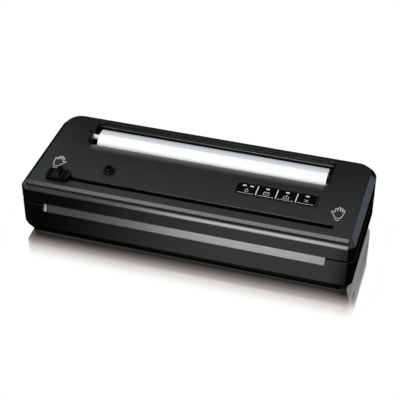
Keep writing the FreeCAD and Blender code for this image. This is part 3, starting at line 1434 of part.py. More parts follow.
can_y = board_y[0] + d.can_row
large_can = cylinder("capacitor_large", "z", d.large_can_radius,
                     (board_level, board_level + d.large_can_high),
                     (board_x[0] + d.can_pitch, can_y))
small_can = cylinder("capacitor_small", "z", d.small_can_radius,
                     (board_level, board_level + d.small_can_high),
                     (board_x[0] + 2 * d.can_pitch, can_y))
relay = on_board("relay", d.relay_x, d.can_row / 2, d.relay_length, d.relay_depth, d.relay_depth)
heat_sink = on_board("heat_sink", d.sink_x, d.sink_row, d.sink_length, d.sink_depth, d.sink_high)
terminal_block = on_board("terminal_block", d.terminal_x, d.terminal_row, d.terminal_length, d.terminal_depth,
                          d.terminal_length)
board_parts = group("board_parts", large_can, small_can, relay, heat_sink, terminal_block)
switch_x = (half_width - d.lid_switch_margin, half_width - d.lid_switch_margin + d.lid_switch_length)
switch_y = (d.lid_switch_set - half_depth, d.lid_switch_set - half_depth + d.lid_switch_depth)
switch_low = deck_under - d.lid_switch_high
switch_body = box("switch_body", switch_x, switch_y, (switch_low, deck_under))
switch_lever = box("switch_lever", (switch_x[0] + d.lever_inset, switch_x[1] - d.lever_inset),
                   (switch_y[1] - 0.5, switch_y[1] + d.lever_thick - 0.5),
                   (switch_low - d.lever_inset, switch_low - d.lever_inset + d.lever_high))
lid_switch = fuse("lid_switch", switch_body, switch_lever)
inlet_x = (d.inlet_x - d.inlet_width / 2, d.inlet_x + d.inlet_width / 2)
inlet_z = (d.inlet_z - d.inlet_high / 2, d.inlet_z + d.inlet_high / 2)
inlet_back = half_depth - d.inlet_deep - d.inlet_wall_y
inlet_case = prism("inlet_case", "XZ", rounded(inlet_x, inlet_z, d.inlet_corner),
                   (inlet_back, half_depth - d.inlet_sink))
cavity_x = (inlet_x[0] + d.inlet_wall_x, inlet_x[1] - d.inlet_wall_x)
cavity_z = (inlet_z[0] + d.inlet_wall_z, inlet_z[1] - d.inlet_wall_z)
cavity_round = d.inlet_high / 2 - d.inlet_wall_z - d.running_gap - 0.1
inlet_cavity = prism("inlet_cavity", "XZ", rounded(cavity_x, cavity_z, cavity_round),
                     (inlet_back + d.inlet_wall_y, half_depth + 1))
contact_places = [(d.inlet_x + shift, d.inlet_z) for shift in (-d.contact_pitch / 2, d.contact_pitch / 2)]
bore_span = (inlet_back - 1, inlet_back + d.inlet_wall_y + 1)
pin_bores = [cylinder(f"pin_bore{n}", "y", d.contact_radius, bore_span, place)
             for n, place in enumerate(contact_places)]
power_inlet = cut("power_inlet", inlet_case, inlet_cavity, *pin_bores)
contact_span = (inlet_back - d.contact_tail, half_depth - d.contact_sink)
inlet_pins = group("inlet_pins", *[
    cylinder(f"inlet_pin{n}", "y", d.contact_radius, contact_span, place)
    for n, place in enumerate(contact_places)])


def hose(name, points, bend):
    """Flexible tube along straight runs with round bends, from the sheet's values."""
    bend = bend.value
    spots = [FreeCAD.Vector(*[dim(value).value for value in point]) for point in points]
    edges = []
    start = spots[0]
    for before, corner, after in zip(spots, spots[1:], spots[2:]):
        into = (corner - before).normalize()
        out = (after - corner).normalize()
        turn = math.acos(max(-1.0, min(1.0, into.dot(out))))
        step = bend * math.tan(turn / 2)
        a = corner - into * step
        b = corner + out * step
        middle = corner + (out - into).normalize() * (bend / math.cos(turn / 2) - bend)
        edges.append(Part.LineSegment(start, a).toShape())
        edges.append(Part.Arc(a, middle, b).toShape())
        start = b
    edges.append(Part.LineSegment(start, spots[-1]).toShape())
    line = Part.Wire(edges)
    along = (spots[1] - spots[0]).normalize()
    walls = []
    for radius in (d.tube_radius, d.tube_bore):
        profile = Part.Wire([Part.Circle(spots[0], along, radius.value).toShape()])
        walls.append(line.makePipeShell([profile], True, True))
    piece = doc.addObject("Part::Feature", name)
    piece.Shape = walls[0].cut(walls[1])
    return piece


chamber_tube = hose("chamber_tube", [
    (*nozzle_place, nozzle_top - d.nozzle_collar), (*nozzle_place, d.chamber_tube_z),
    (nozzle_place[0], pump_y, d.chamber_tube_z), (valve_x[0], pump_y, d.chamber_tube_z)], d.tube_bend)
suction_y = pump_y - d.suction_reach
suction_tube = hose("suction_tube", [
    (valve_middle, valve_y[0], d.suction_tube_z), (valve_middle, suction_y, d.suction_tube_z),
    (pipe_x[0], suction_y, d.suction_tube_z), (pipe_x[0], head_y[0], d.suction_tube_z)], d.suction_bend)

# Names of the pieces, check and export

NODES = {
    "base_shell": base_shell, "rubber_feet": feet, "base_screws": base_screws, "hinge_pins": hinge_pins,
    "base_deck": base_deck, "drip_tray": drip_tray, "drip_nozzle": drip_nozzle,
    "lower_gasket": lower_gasket, "heater_bar": heater_bar,
    "heating_ribbon": heating_ribbon, "seal_tape": seal_tape,
    "lid_frame": lid_frame, "top_panel": top_panel, "roll_tray": roll_tray, "lid_liner": lid_liner,
    "upper_gasket": upper_gasket, "press_strip": press_strip, "lid_screws": lid_screws,
    "latch_hooks": latch_hooks,
    "release_button_right": release_buttons[0], "release_button_left": release_buttons[1],
    "latch_catch_right": latch_catches[0], "latch_catch_left": latch_catches[1],
    "latch_spring_right": latch_springs[0], "latch_spring_left": latch_springs[1],
    "roll_spindle": spindle, "roll_core": roll_core, "film_roll": film_roll,
    "cutter_rail": cutter_rail, "cutter_knob": cutter_knob, "cutter_carriage": cutter_carriage,
    "cutter_blade": cutter_blade,
    "hose_port": hose_port, "port_nut": port_nut, "port_sleeve": port_sleeve,
    "control_bezel": control_bezel, "key_dividers": key_dividers, "control_board": control_board,
    "tact_switches": tact_switches,
    "key_1": keys[0], "key_2": keys[1], "key_3": keys[2], "key_4": keys[3],
    "key_lamp_1": key_lamps[0], "key_lamp_2": key_lamps[1], "key_lamp_3": key_lamps[2],
    "key_lamp_4": key_lamps[3],
    "pump_motor": pump_motor, "pump_head": pump_head, "pump_mounts": pump_mounts, "vent_valve": vent_valve,
    "transformer_core": transformer_core, "transformer_winding": transformer_winding,
    "power_board": power_board, "board_parts": board_parts, "lid_switch": lid_switch,
    "power_inlet": power_inlet, "inlet_pins": inlet_pins,
    "chamber_tube": chamber_tube, "suction_tube": suction_tube,
}

doc.recompute()
broken = [item.Label for item in doc.Objects if "Invalid" in item.State or "Error" in item.State]
if broken:
    raise RuntimeError(f"these pieces did not build: {broken}")
os.makedirs("parts", exist_ok=True)
for label, piece in NODES.items():
    piece.Label = label
    shape = piece.Shape
    if shape.isNull() or not shape.isValid() or not shape.Solids:
        raise RuntimeError(f"{label} is not a valid solid")
    shape.exportStep(f"parts/{label}.step")
print(len(NODES), "pieces written")
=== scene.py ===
# %% [markdown]
# # A vacuum sealer for 30 cm film
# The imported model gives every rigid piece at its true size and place, in metres, with +Z up and the
# front of the machine towards -Y. This lesson dresses it: finishes for each moulding, soft and printed
# pieces that a solid modeller leaves plain, and a small photo studio round it.

# %% Load the frame
import json
import math

import bmesh
import bpy
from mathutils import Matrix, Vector


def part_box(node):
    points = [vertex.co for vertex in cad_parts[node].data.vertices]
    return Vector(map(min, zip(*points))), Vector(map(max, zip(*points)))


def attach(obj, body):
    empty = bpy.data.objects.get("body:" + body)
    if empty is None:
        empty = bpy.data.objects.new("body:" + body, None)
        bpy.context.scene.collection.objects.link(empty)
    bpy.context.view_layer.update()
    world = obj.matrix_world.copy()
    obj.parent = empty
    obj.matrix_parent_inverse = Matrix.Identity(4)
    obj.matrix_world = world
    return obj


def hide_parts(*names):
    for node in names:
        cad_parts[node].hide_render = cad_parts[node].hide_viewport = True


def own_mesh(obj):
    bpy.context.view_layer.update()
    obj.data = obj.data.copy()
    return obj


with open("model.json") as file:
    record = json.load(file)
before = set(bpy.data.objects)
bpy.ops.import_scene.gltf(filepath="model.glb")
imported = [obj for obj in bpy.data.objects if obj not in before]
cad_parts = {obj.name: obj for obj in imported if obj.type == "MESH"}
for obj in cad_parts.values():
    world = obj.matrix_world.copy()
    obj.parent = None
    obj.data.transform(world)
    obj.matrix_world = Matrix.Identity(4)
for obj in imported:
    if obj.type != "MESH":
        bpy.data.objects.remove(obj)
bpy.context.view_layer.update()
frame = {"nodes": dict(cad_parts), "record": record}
nodes = frame["nodes"]
MM = 0.001

# %% [markdown]
# ## The camera
# A product photo of a wide, low machine is taken from far away with a long lens, so that its front edge
# and its back edge come out almost parallel. The view could be found by eye, but corners of the housing
# fix it more exactly: 17 degrees to the right of the front and 38 degrees up.

# %% Camera
VIEW_TURN, VIEW_RISE = 16.768, 37.869
VIEW_DISTANCE = 1443.33 * MM
AIM = Vector((-2.633, 2.788, 33.5)) * MM
SENSOR = 36.0
FOCAL_PIXELS, PICTURE_PIXELS = 1150, 400
LENS = SENSOR * FOCAL_PIXELS / PICTURE_PIXELS


def towards(turn, rise):
    """Unit vector at a turn from the front, to the right, and a rise above the floor, both in degrees."""
    t, r = math.radians(turn), math.radians(rise)
    return Vector((math.sin(t) * math.cos(r), -math.cos(t) * math.cos(r), math.sin(r)))


eye = AIM + VIEW_DISTANCE * towards(VIEW_TURN, VIEW_RISE)
camera_data = bpy.data.cameras.new("studio_camera")
camera_data.lens = LENS
camera_data.sensor_width = SENSOR
camera_data.clip_start = 0.01
camera = bpy.data.objects.new("studio_camera", camera_data)
camera.location = eye
camera.rotation_euler = (AIM - eye).to_track_quat("-Z", "Y").to_euler()
scene = bpy.context.scene
scene.collection.objects.link(camera)
scene.camera = camera
scene.view_settings.view_transform = "Standard"
print("camera at", [round(v, 3) for v in eye], "lens", round(LENS, 1), "mm")

# %% [markdown]
# ## Colours and nodes
# Colours are written the way a paint chart gives them, as sRGB hex. Shaders want linear light, so one
# function does the change. A second one adds a node, sets its options and links its inputs. The short
# ones after it are what the finishes use most: arithmetic, a remapped value and two mixed tones.

# %% Colour and node helpers
MIX_RESULT = 2


def linear(hex_colour):
    parts = [int(hex_colour[i:i + 2], 16) / 255 for i in (1, 3, 5)]
    return tuple(p / 12.92 if p <= 0.04045 else ((p + 0.055) / 1.055) ** 2.4 for p in parts) + (1.0,)


def feed(tree, node, **inputs):
    """Set inputs to values, or link (node, output) pairs. Spaces are written _, and _6 is input 6."""
    for key, value in inputs.items():
        name = key.replace("_", " ")
        socket = node.inputs[int(name[1:])] if name[1:].isdigit() else node.inputs[name]
        if isinstance(value, tuple) and hasattr(value[0], "outputs"):
            tree.links.new(value[0].outputs[value[1]], socket)
        else:
            socket.default_value = value


def add(tree, kind, settings=None, **inputs):
    """Add a node with its settings and its inputs."""
    node = tree.nodes.new("ShaderNode" + kind)
    for key, value in (settings or {}).items():
        setattr(node, key, value)
    feed(tree, node, **inputs)
    return node


def calc(tree, operation, *values):
    """One step of arithmetic on numbers or (node, output) pairs."""
    inputs = {f"_{i}": value for i, value in enumerate(values)}
    return add(tree, "Math", {"operation": operation}, **inputs), "Value"


def remap(tree, value, start, end, low=0.0, high=1.0, smooth=False):
    """Map a value from start..end to low..high, and hold it at both ends."""
    settings = {"interpolation_type": "SMOOTHSTEP"} if smooth else None
    return add(tree, "MapRange", settings, Value=value,
               From_Min=start, From_Max=end, To_Min=low, To_Max=high), "Result"


def two_tone(tree, share, dark, light):
    """A colour between two; each is sRGB hex or a colour that is already in the tree."""
    first, second = [linear(tone) if isinstance(tone, str) else tone for tone in (dark, light)]
    return add(tree, "Mix", {"data_type": "RGBA"}, Factor=share, _6=first, _7=second), MIX_RESULT


print("black of the lid in linear light:", [round(v, 4) for v in linear("#090A0B")[:3]])

# %% [markdown]
# ## Patterns and materials
# Moulds, cells and fibres leave marks of a known size. So every pattern is given in millimetres and placed
# by the object's own coordinates: it stays on the piece from any side, and needs no unwrapped picture.

# %% Pattern helpers
def begin(name):
    """A new material, its tree, the shader that its output shows, and the object's own coordinates."""
    material = bpy.data.materials.new(name)
    material.use_nodes = True
    tree = material.node_tree
    tree.nodes.clear()
    shader = add(tree, "BsdfPrincipled")
    add(tree, "OutputMaterial", Surface=(shader, "BSDF"))
    return material, tree, shader, (add(tree, "TexCoord"), "Object")


def show(tree, shader):
    """Make another shader the one that the material's output shows."""
    feed(tree, tree.nodes["Material Output"], Surface=(shader, 0))


def per_mm(millimetres):
    """Noise scale whose features are about this many millimetres across."""
    return 1.0 / (millimetres * MM)


def wave_per_mm(millimetres):
    """Wave scale whose bands lie about this many millimetres apart."""
    return per_mm(millimetres) / math.pi


def noise(tree, here, size_mm, detail):
    return add(tree, "TexNoise", None, Vector=here, Scale=per_mm(size_mm), Detail=detail), "Fac"


def cells(tree, here, size_mm):
    return add(tree, "TexVoronoi", None, Vector=here, Scale=per_mm(size_mm)), "Distance"


def relief(tree, height, strength, depth_mm, **inputs):
    return add(tree, "Bump", None, Height=height, Strength=strength, Distance=depth_mm * MM,
               **inputs), "Normal"


def split(tree, vector):
    return add(tree, "SeparateXYZ", None, Vector=vector)


print("a pattern of 1 mm has scale", per_mm(1.0))

# %% [markdown]
# ## Painted reflection and soft edges of the lid
# The front edge of the roll well is painted paler, a painted reflection of the white roll in it, the long
# front edges of the lid are softly rounded, and its flat top is matt where the slopes are polished. These
# could be three materials on cut-up faces. Reading the place and the tilt of the surface keeps one material
# per moulding.

# %% Lip, front edges and flat top
# Pale tone for the front edge of the roll well: a painted reflection of the white roll.
LIP_REFLECTION_TONE = "#626466"
LIP_POWER, LIP_FADE = 2.0, 3.0
FRONT_EDGES = (-58.0, -50.0)
FLAT_SLOPES = (14, 6)


def painted_lip_reflection(tree, here, half, start, edge):
    """Mask of the painted roll reflection: 1 along the front edge of the roll well, falling to 0 in front of
    it, behind it and at its ends.
    """
    spot = split(tree, here)
    along = remap(tree, (spot, "Y"), start * MM, edge * MM)
    sideways = calc(tree, "ABSOLUTE", (spot, "X"))
    ends = remap(tree, sideways, (half + LIP_FADE) * MM, (half - LIP_FADE) * MM, smooth=True)
    behind = remap(tree, (spot, "Y"), (edge + 2 * LIP_FADE) * MM, (edge + LIP_FADE) * MM)
    growing = calc(tree, "POWER", along, LIP_POWER)
    return calc(tree, "MULTIPLY", growing, calc(tree, "MULTIPLY", behind, ends))


def front_radius(tree, here, front_mm, edge_mm):
    """Edges in front of the cutter slot have their own, larger radius."""
    start, end = FRONT_EDGES
    return remap(tree, (split(tree, here), "Y"), start * MM, end * MM, front_mm * MM, edge_mm * MM)


def matt_on_top(tree, here, sheen, flat_rough):
    """Faces that look straight up have their own roughness."""
    upward = (split(tree, (here[0], "Normal")), "Z")
    flat = remap(tree, upward, *[math.cos(math.radians(slope)) for slope in FLAT_SLOPES])
    return add(tree, "Mix", {"data_type": "FLOAT"}, Factor=flat, A=sheen, B=flat_rough), "Result"


print("front edges are those before y =", FRONT_EDGES[1], "mm")

# %% [markdown]
# ## Moulded plastics
# Nearly all of the outside is ABS from a steel mould. A polished mould leaves a mirror with a faint ripple,
# a spark-eroded one leaves a fine grain that blurs reflections. One builder makes both: a slow drift of
# colour where the melt cooled, a grain for the mould's finish, and edges rubbed paler by hands. Bevel's
# rounded normal, compared with the true one, finds those edges.

# %% Builder for moulded plastic
DRIFT_MM, PATCH_MM = 60, 9
WORN_FACING = (0.99, 0.80)
SHEEN_SPREAD = 0.12


def moulded(name, dark, light, rough, grain_mm, grain_depth_mm, edge="#3A3C3E", edge_mm=0.5, wear=0.5,
            front_mm=None, flat_rough=None, lip=None, ior=1.53):
    material, tree, shader, here = begin(name)
    body = two_tone(tree, noise(tree, here, DRIFT_MM, 3.0), dark, light)
    radius = edge_mm * MM if front_mm is None else front_radius(tree, here, front_mm, edge_mm)
    rounded = (add(tree, "Bevel", {"samples": 4}, Radius=radius), "Normal")
    true = (add(tree, "NewGeometry"), "Normal")
    facing = (add(tree, "VectorMath", {"operation": "DOT_PRODUCT"}, _0=rounded, _1=true), "Value")
    patchy = noise(tree, here, PATCH_MM, 4.0)
    worn = calc(tree, "MULTIPLY", remap(tree, facing, *WORN_FACING, high=wear), patchy)
    colour = two_tone(tree, worn, body, edge)
    # The lip gets a pale band: a painted reflection of the white roll.
    if lip is not None:
        colour = two_tone(tree, painted_lip_reflection(tree, here, *lip), colour, LIP_REFLECTION_TONE)
    sheen = remap(tree, patchy, 0.0, 1.0, rough * (1 - SHEEN_SPREAD), rough * (1 + SHEEN_SPREAD))
    if flat_rough is not None:
        sheen = matt_on_top(tree, here, sheen, flat_rough)
    grain = relief(tree, noise(tree, here, grain_mm, 2.0), 0.5, grain_depth_mm, Normal=rounded)
    feed(tree, shader, Base_Color=colour, Roughness=sheen, Normal=grain, IOR=ior)
    return material


print("wear starts where the normal turns by", round(math.degrees(math.acos(WORN_FACING[0]))), "degrees")

# %% Moulded finishes
finishes = {}
# Lid: black ABS with polished slopes; the flat top is spark-eroded, so it stays an even dark grey.
LID_FINISH = ("#090A0B", "#0C0D0E", 0.20, 0.9, 0.010)
LID_EDGES = {"front_mm": 2.4, "wear": 0.1, "flat_rough": 0.6}
ROLL_REFLECTION_PLACE = (150.0, 4.0, 17.2)
finishes["lid_black"] = moulded("ABS moulded satin black", *LID_FINISH, **LID_EDGES)
# Top panel: the same, with a pale band painted along the front of the roll well, a painted reflection of the
# white roll.
finishes["panel_black"] = moulded("ABS moulded satin black with a painted roll reflection", *LID_FINISH, **LID_EDGES,
                                  lip=ROLL_REFLECTION_PLACE)
# Base: the same resin from a slightly coarser mould.
finishes["base_black"] = moulded("ABS moulded black fine grain", "#060707", "#090A0A", 0.22, 0.8, 0.014)
# Inside faces: matt grain, so that scuffs from bags do not show.
finishes["inner_black"] = moulded("ABS moulded matt grain", "#161718", "#1E1F20", 0.46, 0.7, 0.030)
# Keys and knob: a coat against glare leaves hardly any mirror, so they are the blackest mouldings.
COATED = ("#020202", "#040404")
finishes["key_black"] = moulded("ABS coated against glare", *COATED, 0.16, 3.0, 0.003,
                                "#2A2B2C", 0.3, 0.3, flat_rough=0.78, ior=1.14)
# Port: the same coat, its rims paler, partly from wear by the hose and partly as a painted highlight where
# the rims catch the light.
finishes["port_black"] = moulded("ABS coated with worn rims and painted rim highlight", *COATED, 0.2, 3.0, 0.003,
                                 "#3A3B3C", 0.3, 0.5, flat_rough=0.78, ior=1.24)
# Bought-in relays, valves and cans.
finishes["part_grey"] = moulded("PBT moulded grey", "#4A4E52", "#5A5F63", 0.45, 0.7, 0.02, "#7A7F83")
# Spindle: milky polypropylene, slightly waxy.
finishes["spindle_white"] = moulded("polypropylene moulded white", "#E3E4E2", "#EFEFED", 0.34, 1.2, 0.01,
                                    "#F6F6F4", 0.4, 0.3)
# Heater bar: brown phenolic resin.
finishes["heater_resin"] = moulded("phenolic resin pressed", "#4B2E1E", "#5D3A26", 0.42, 0.8, 0.03,
                                   "#7C5238")
print("moulded finishes:", sorted(finishes))

# %% [markdown]
# ## Light trim
# The bars between the keys are ABS sprayed with silver lacquer: a flake too fine to see one by one, which
# shows as a soft glitter. The lamp windows are milky polycarbonate that spreads the light of the LED below.
# The flake could be a picture, but cells of a quarter of a millimetre glitter the same from any distance.

# %% Silver lacquer and lamp windows
def silver_lacquer():
    material, tree, shader, here = begin("ABS sprayed silver lacquer")
    flake = cells(tree, here, 0.25)
    feed(tree, shader, Base_Color=two_tone(tree, flake, "#D4D6D7", "#EBECED"),
         Roughness=remap(tree, flake, 0.0, 1.0, 0.28, 0.42), Metallic=0.1)
    return material


def clouded(name, dark, light, cloud_mm, rough, **inputs):
    """A smooth finish with two tones in small clouds."""
    material, tree, shader, here = begin(name)
    tone = two_tone(tree, noise(tree, here, cloud_mm, 2.0), dark, light)
    feed(tree, shader, Base_Color=tone, Roughness=rough, **inputs)
    return material


finishes["trim_silver"] = silver_lacquer()
finishes["lamp_white"] = clouded("polycarbonate milky diffuser", "#DADCDC", "#F4F5F5", 1.2, 0.22, IOR=1.58)
print("trim finishes made")

# %% [markdown]
# ## Film, card, foam and rubber
# Bag film is a milky laminate pressed with a net of small diamonds, so that air can leave under vacuum. The
# net could be modelled, but as a relief of 3 mm bands in the finish it costs no faces. Card is grey-brown
# with long fibres, foam has open cells and no gloss, rubber and silicone are matt and slightly dusty.

# %% Film and soft finishes
NET_MM, NET_DEPTH = 3.0, 0.06
FILM_CLOUD_MM, SOFT_CLOUD_MM = 35, 20
SOFT_SPREAD = 0.06


def bag_film(name, dark, light):
    material, tree, shader, here = begin(name)
    lines = []
    for turn in (45, -45):
        turned = add(tree, "Mapping", None, Vector=here, Rotation=(0.0, 0.0, math.radians(turn)))
        wave = add(tree, "TexWave", None, Vector=(turned, "Vector"), Scale=wave_per_mm(NET_MM))
        lines.append((wave, "Fac"))
    net = calc(tree, "MAXIMUM", *lines)
    tone = two_tone(tree, noise(tree, here, FILM_CLOUD_MM, 3.0), dark, light)
    feed(tree, shader, Base_Color=tone, Normal=relief(tree, net, 0.25, NET_DEPTH), Roughness=0.3, IOR=1.51)
    return material


def soft(name, dark, light, rough, cell_mm, depth_mm, **inputs):
    """Foam, rubber, silicone, card: cells or fibres of a given size, and a slow change of tone."""
    material, tree, shader, here = begin(name)
    pores = cells(tree, here, cell_mm)
    cloud = noise(tree, here, SOFT_CLOUD_MM, 5.0)
    tone = two_tone(tree, calc(tree, "MULTIPLY_ADD", pores, 0.5, cloud), dark, light)
    feed(tree, shader, Base_Color=tone, Normal=relief(tree, pores, 0.6, depth_mm),
         Roughness=remap(tree, cloud, 0.0, 1.0, rough - SOFT_SPREAD, rough + SOFT_SPREAD), **inputs)
    return material


finishes["film_white"] = bag_film("polyethylene laminate embossed", "#F6F7F8", "#FFFFFF")
finishes["core_card"] = soft("grey board wound card", "#8F8474", "#A99D8B", 0.85, 0.6, 0.03)
finishes["foam_black"] = soft("polyurethane foam open cell", "#1C1D1F", "#2B2C2E", 0.9, 0.55, 0.12)
finishes["rubber_black"] = soft("EPDM rubber moulded", "#161617", "#222223", 0.72, 0.5, 0.03)
finishes["silicone_grey"] = soft("silicone rubber extruded", "#6C7072", "#7D8183", 0.6, 0.7, 0.02)
finishes["hose_clear"] = soft("PVC hose extruded", "#B9BEC0", "#D2D6D7", 0.25, 1.5, 0.01)
print("soft finishes made")

# %% [markdown]
# ## Metals, tape and boards
# Screws and springs are bright steel, the blade is ground, the ribbon is rolled nickel-chrome that has
# been hot, and the transformer is stamped iron with copper wire. The release tape is glass cloth under a
# brown PTFE coat, and its weave shows through. Each metal is one noise, drawn out the way it was rolled,
# ground or wound, because that is what its reflections show; a weave is two waves at right angles.

# %% Metals, tape and boards
METAL_SPREAD, METAL_DEPTH = 0.25, 0.01
WEAVE_DEPTH = 0.05


def metal(name, dark, light, rough, grain_mm, stretch=(1.0, 1.0, 1.0)):
    material, tree, shader, here = begin(name)
    laid = add(tree, "Mapping", None, Vector=here, Scale=stretch)
    marks = noise(tree, (laid, "Vector"), grain_mm, 4.0)
    feed(tree, shader, Base_Color=two_tone(tree, marks, dark, light), Metallic=1.0,
         Roughness=remap(tree, marks, 0.0, 1.0, rough * (1 - METAL_SPREAD), rough * (1 + METAL_SPREAD)),
         Normal=relief(tree, marks, 0.3, METAL_DEPTH))
    return material


def woven(name, dark, light, thread_mm, rough):
    material, tree, shader, here = begin(name)
    threads = [(add(tree, "TexWave", {"bands_direction": way}, Vector=here, Scale=wave_per_mm(thread_mm)),
                "Fac") for way in ("X", "Y")]
    cloth = calc(tree, "MULTIPLY", *threads)
    feed(tree, shader, Base_Color=two_tone(tree, cloth, dark, light), Roughness=rough,
         Normal=relief(tree, cloth, 0.4, WEAVE_DEPTH))
    return material


finishes["steel"] = metal("steel zinc plated", "#A9ADB0", "#C3C7CA", 0.3, 1.5)
finishes["blade_steel"] = metal("steel ground", "#B4B8BB", "#D5D8DA", 0.2, 0.8, (0.15, 1.0, 1.0))
finishes["nichrome"] = metal("nickel chrome rolled", "#8E8A84", "#A6A29B", 0.35, 1.0, (0.1, 1.0, 1.0))
finishes["iron"] = metal("iron stamped and varnished", "#4A4744", "#64605B", 0.5, 0.5, (1.0, 1.0, 6.0))
finishes["winding_copper"] = metal("copper enamelled wire", "#8A4423", "#B5653A", 0.3, 0.4, (6.0, 1.0, 1.0))
finishes["tape_tan"] = woven("PTFE coated glass cloth", "#7D5E3E", "#A07E58", 0.8, 0.5)
finishes["board_green"] = woven("FR4 board solder masked", "#0F3B25", "#1A5033", 1.0, 0.35)
print("finishes in all:", len(finishes))

# %% [markdown]
# ## Dress the CAD nodes
# The record says which finish each node takes, so one loop dresses them all. Four nodes then get a variant
# of their own, because the record has no slot for it: the flock in the cutter's slot, whose near-black is
# partly painted shade for the depth of the slot, the coats of the knob and the port, and the panel's lip
# with its painted reflection of the roll.

# %% Assign finishes
slot_of = {part["node"]: part["material_slot"] for part in frame["record"]["subparts"]}
for name, piece in nodes.items():
    piece.data.materials.clear()
    piece.data.materials.append(finishes[slot_of[name]])
VARIANTS = {
    # Flock lining of the slot. Its near-black, barely reflecting finish is also painted shade for the depth
    # of the slot.
    "cutter_rail": soft("nylon flock black with painted slot shade", "#010101", "#030303", 0.92, 0.3, 0.05, IOR=1.08),
    "cutter_knob": finishes["key_black"],
    "hose_port": finishes["port_black"],
    "top_panel": finishes["panel_black"],
}
for name, finish in VARIANTS.items():
    nodes[name].data.materials[0] = finish
print("dressed", len(slot_of), "nodes,", len(VARIANTS), "of them with a variant")

# %% [markdown]
# ## Helpers for new pieces
# Two ways of making a mesh cover nearly all that follows: rings of points with a skin between them (film,
# gaskets, springs, trim and printed lines), and an outline turned round an axis (feet, screws). Each ends as
# a mesh that rides on one of the bodies.

# %% Mesh helpers
WELD = 1e-7
SHARP_DEGREES = 35


def piece_from(bm, name, slot, body, smooth=True, replaces=()):
    bmesh.ops.remove_doubles(bm, verts=bm.verts, dist=WELD)
    bmesh.ops.recalc_face_normals(bm, faces=bm.faces)
    mesh = bpy.data.meshes.new(name)
    bm.to_mesh(mesh)
    bm.free()
    for face in mesh.polygons:
        face.use_smooth = smooth
    if smooth:
        mesh.set_sharp_from_angle(angle=math.radians(SHARP_DEGREES))
    obj = bpy.data.objects.new(name, mesh)
    scene.collection.objects.link(obj)
    mesh.materials.append(finishes[slot])
    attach(obj, body)
    if replaces:
        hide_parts(*replaces)
    return obj


def skin(bm, rings, closed_along=True, closed_round=True):
    """Quads between neighbouring rings of points; every ring has the same count."""
    verts = [[bm.verts.new(p) for p in ring] for ring in rings]
    count = len(verts)
    for i in range(count if closed_along else count - 1):
        a, b = verts[i], verts[(i + 1) % count]
        size = len(a)
        for j in range(size if closed_round else size - 1):
            k = (j + 1) % size
            bm.faces.new((a[j], a[k], b[k], b[j]))
    return verts


def tube(bm, rings):
    """An open run of rings with both of its ends filled."""
    verts = skin(bm, rings, closed_along=False)
    for end in (verts[0], verts[-1]):
        bm.faces.new(end)


def angles(steps):
    """Evenly spread angles round a full circle."""
    return [2 * math.pi * i / steps for i in range(steps)]


def half_round(across, high, steps):
    """Points over a half circle, stretched to these two radii."""
    turns = [math.pi * i / steps for i in range(steps + 1)]
    return [(across * math.cos(a), high * math.sin(a)) for a in turns]


def lathe(bm, profile, centre, steps):
    """Turn (radius, height) points about a vertical line through the centre."""
    x, y = centre
    rings = [[Vector((x + r * math.cos(a), y + r * math.sin(a), h)) * MM for r, h in profile]
             for a in angles(steps)]
    skin(bm, rings, closed_along=True, closed_round=False)


print("mesh helpers ready")

# %% [markdown]
# ## The film roll
# The roll is one long sheet wound on a card tube. A plain cylinder would hide that, so the sheet is built
# as a spiral: each turn lies just outside the last, the ends show the layers as fine rings, and the free edge
# leaves a small step along the roll.

# %% Film roll
ROLL_Y, ROLL_Z = 46.0, 61.0
ROLL_ENDS = (-148.7, 149.3)
ROLL_OUT, ROLL_IN = 18.5, 14.5
ROLL_TURNS, TURN_STEPS = 12, 96
LAYER = (ROLL_OUT - ROLL_IN) / ROLL_TURNS
LAYER_FILL = 0.86
FREE_EDGE = math.radians(101)
FLAP_SPAN, FLAP_STEPS = math.radians(75), 24
FLAP_SINK, FLAP_PROUD = 0.1, 0.02


def roll_point(x, r, angle, z=ROLL_Z):
    """A point at a radius and an angle about a line along X, in the plane of the roll."""
    return Vector((x, ROLL_Y + r * math.cos(angle), z + r * math.sin(angle))) * MM


def film_ring(angle, inner, outer):
    """The section of one layer of film: two radii at each end of the roll."""
    left, right = ROLL_ENDS
    corners = ((left, inner), (left, outer), (right, outer), (right, inner))
    return [roll_point(x, r, angle) for x, r in corners]


def film_roll():
    bm = bmesh.new()
    rings = []
    for i in range(TURN_STEPS * ROLL_TURNS + 1):
        turn = i / TURN_STEPS
        outer = min(ROLL_OUT, ROLL_IN + LAYER * (turn + LAYER_FILL))
        rings.append(film_ring(FREE_EDGE + 2 * math.pi * turn, outer - LAYER * LAYER_FILL, outer))
    tube(bm, rings)
    return piece_from(bm, "film_wound", "film_white", "roll", replaces=["film_roll"])


def film_flap_painted_shade():
    """The last 24 mm of the sheet: one loose layer, painted greyer as shade on the top and back of the roll.
    """
    bm = bmesh.new()
    tube(bm, [film_ring(FREE_EDGE - FLAP_SPAN * i / FLAP_STEPS, ROLL_OUT - FLAP_SINK, ROLL_OUT + FLAP_PROUD)
              for i in range(FLAP_STEPS + 1)])
    flap = piece_from(bm, "film_flap_painted_shade", "film_white", "roll")
    # Greyer film: painted shade on the top and back of the roll, where less light falls.
    flap.data.materials[0] = bag_film("polyethylene laminate loose layer with painted shade", "#D6D8DA", "#E4E6E8")


roll = film_roll()
film_flap_painted_shade()
print("film roll:", len(roll.data.polygons), "faces in", ROLL_TURNS, "turns")

# %% [markdown]
# ## The end of the spindle
# The right end of the spindle turns in an open cradle. A short black rubber sleeve there keeps it from
# rattling, and hides the white end in the dark of the well. It could be a second colour on the spindle, but
# a sleeve has its own thickness and rounded ends.

# %% Spindle sleeve
SPINDLE_Z, SLEEVE_R = 70.8, 3.24
SLEEVE_PROFILE = ((149.5, 3.0), (149.6, SLEEVE_R), (151.8, SLEEVE_R), (152.05, 2.9))


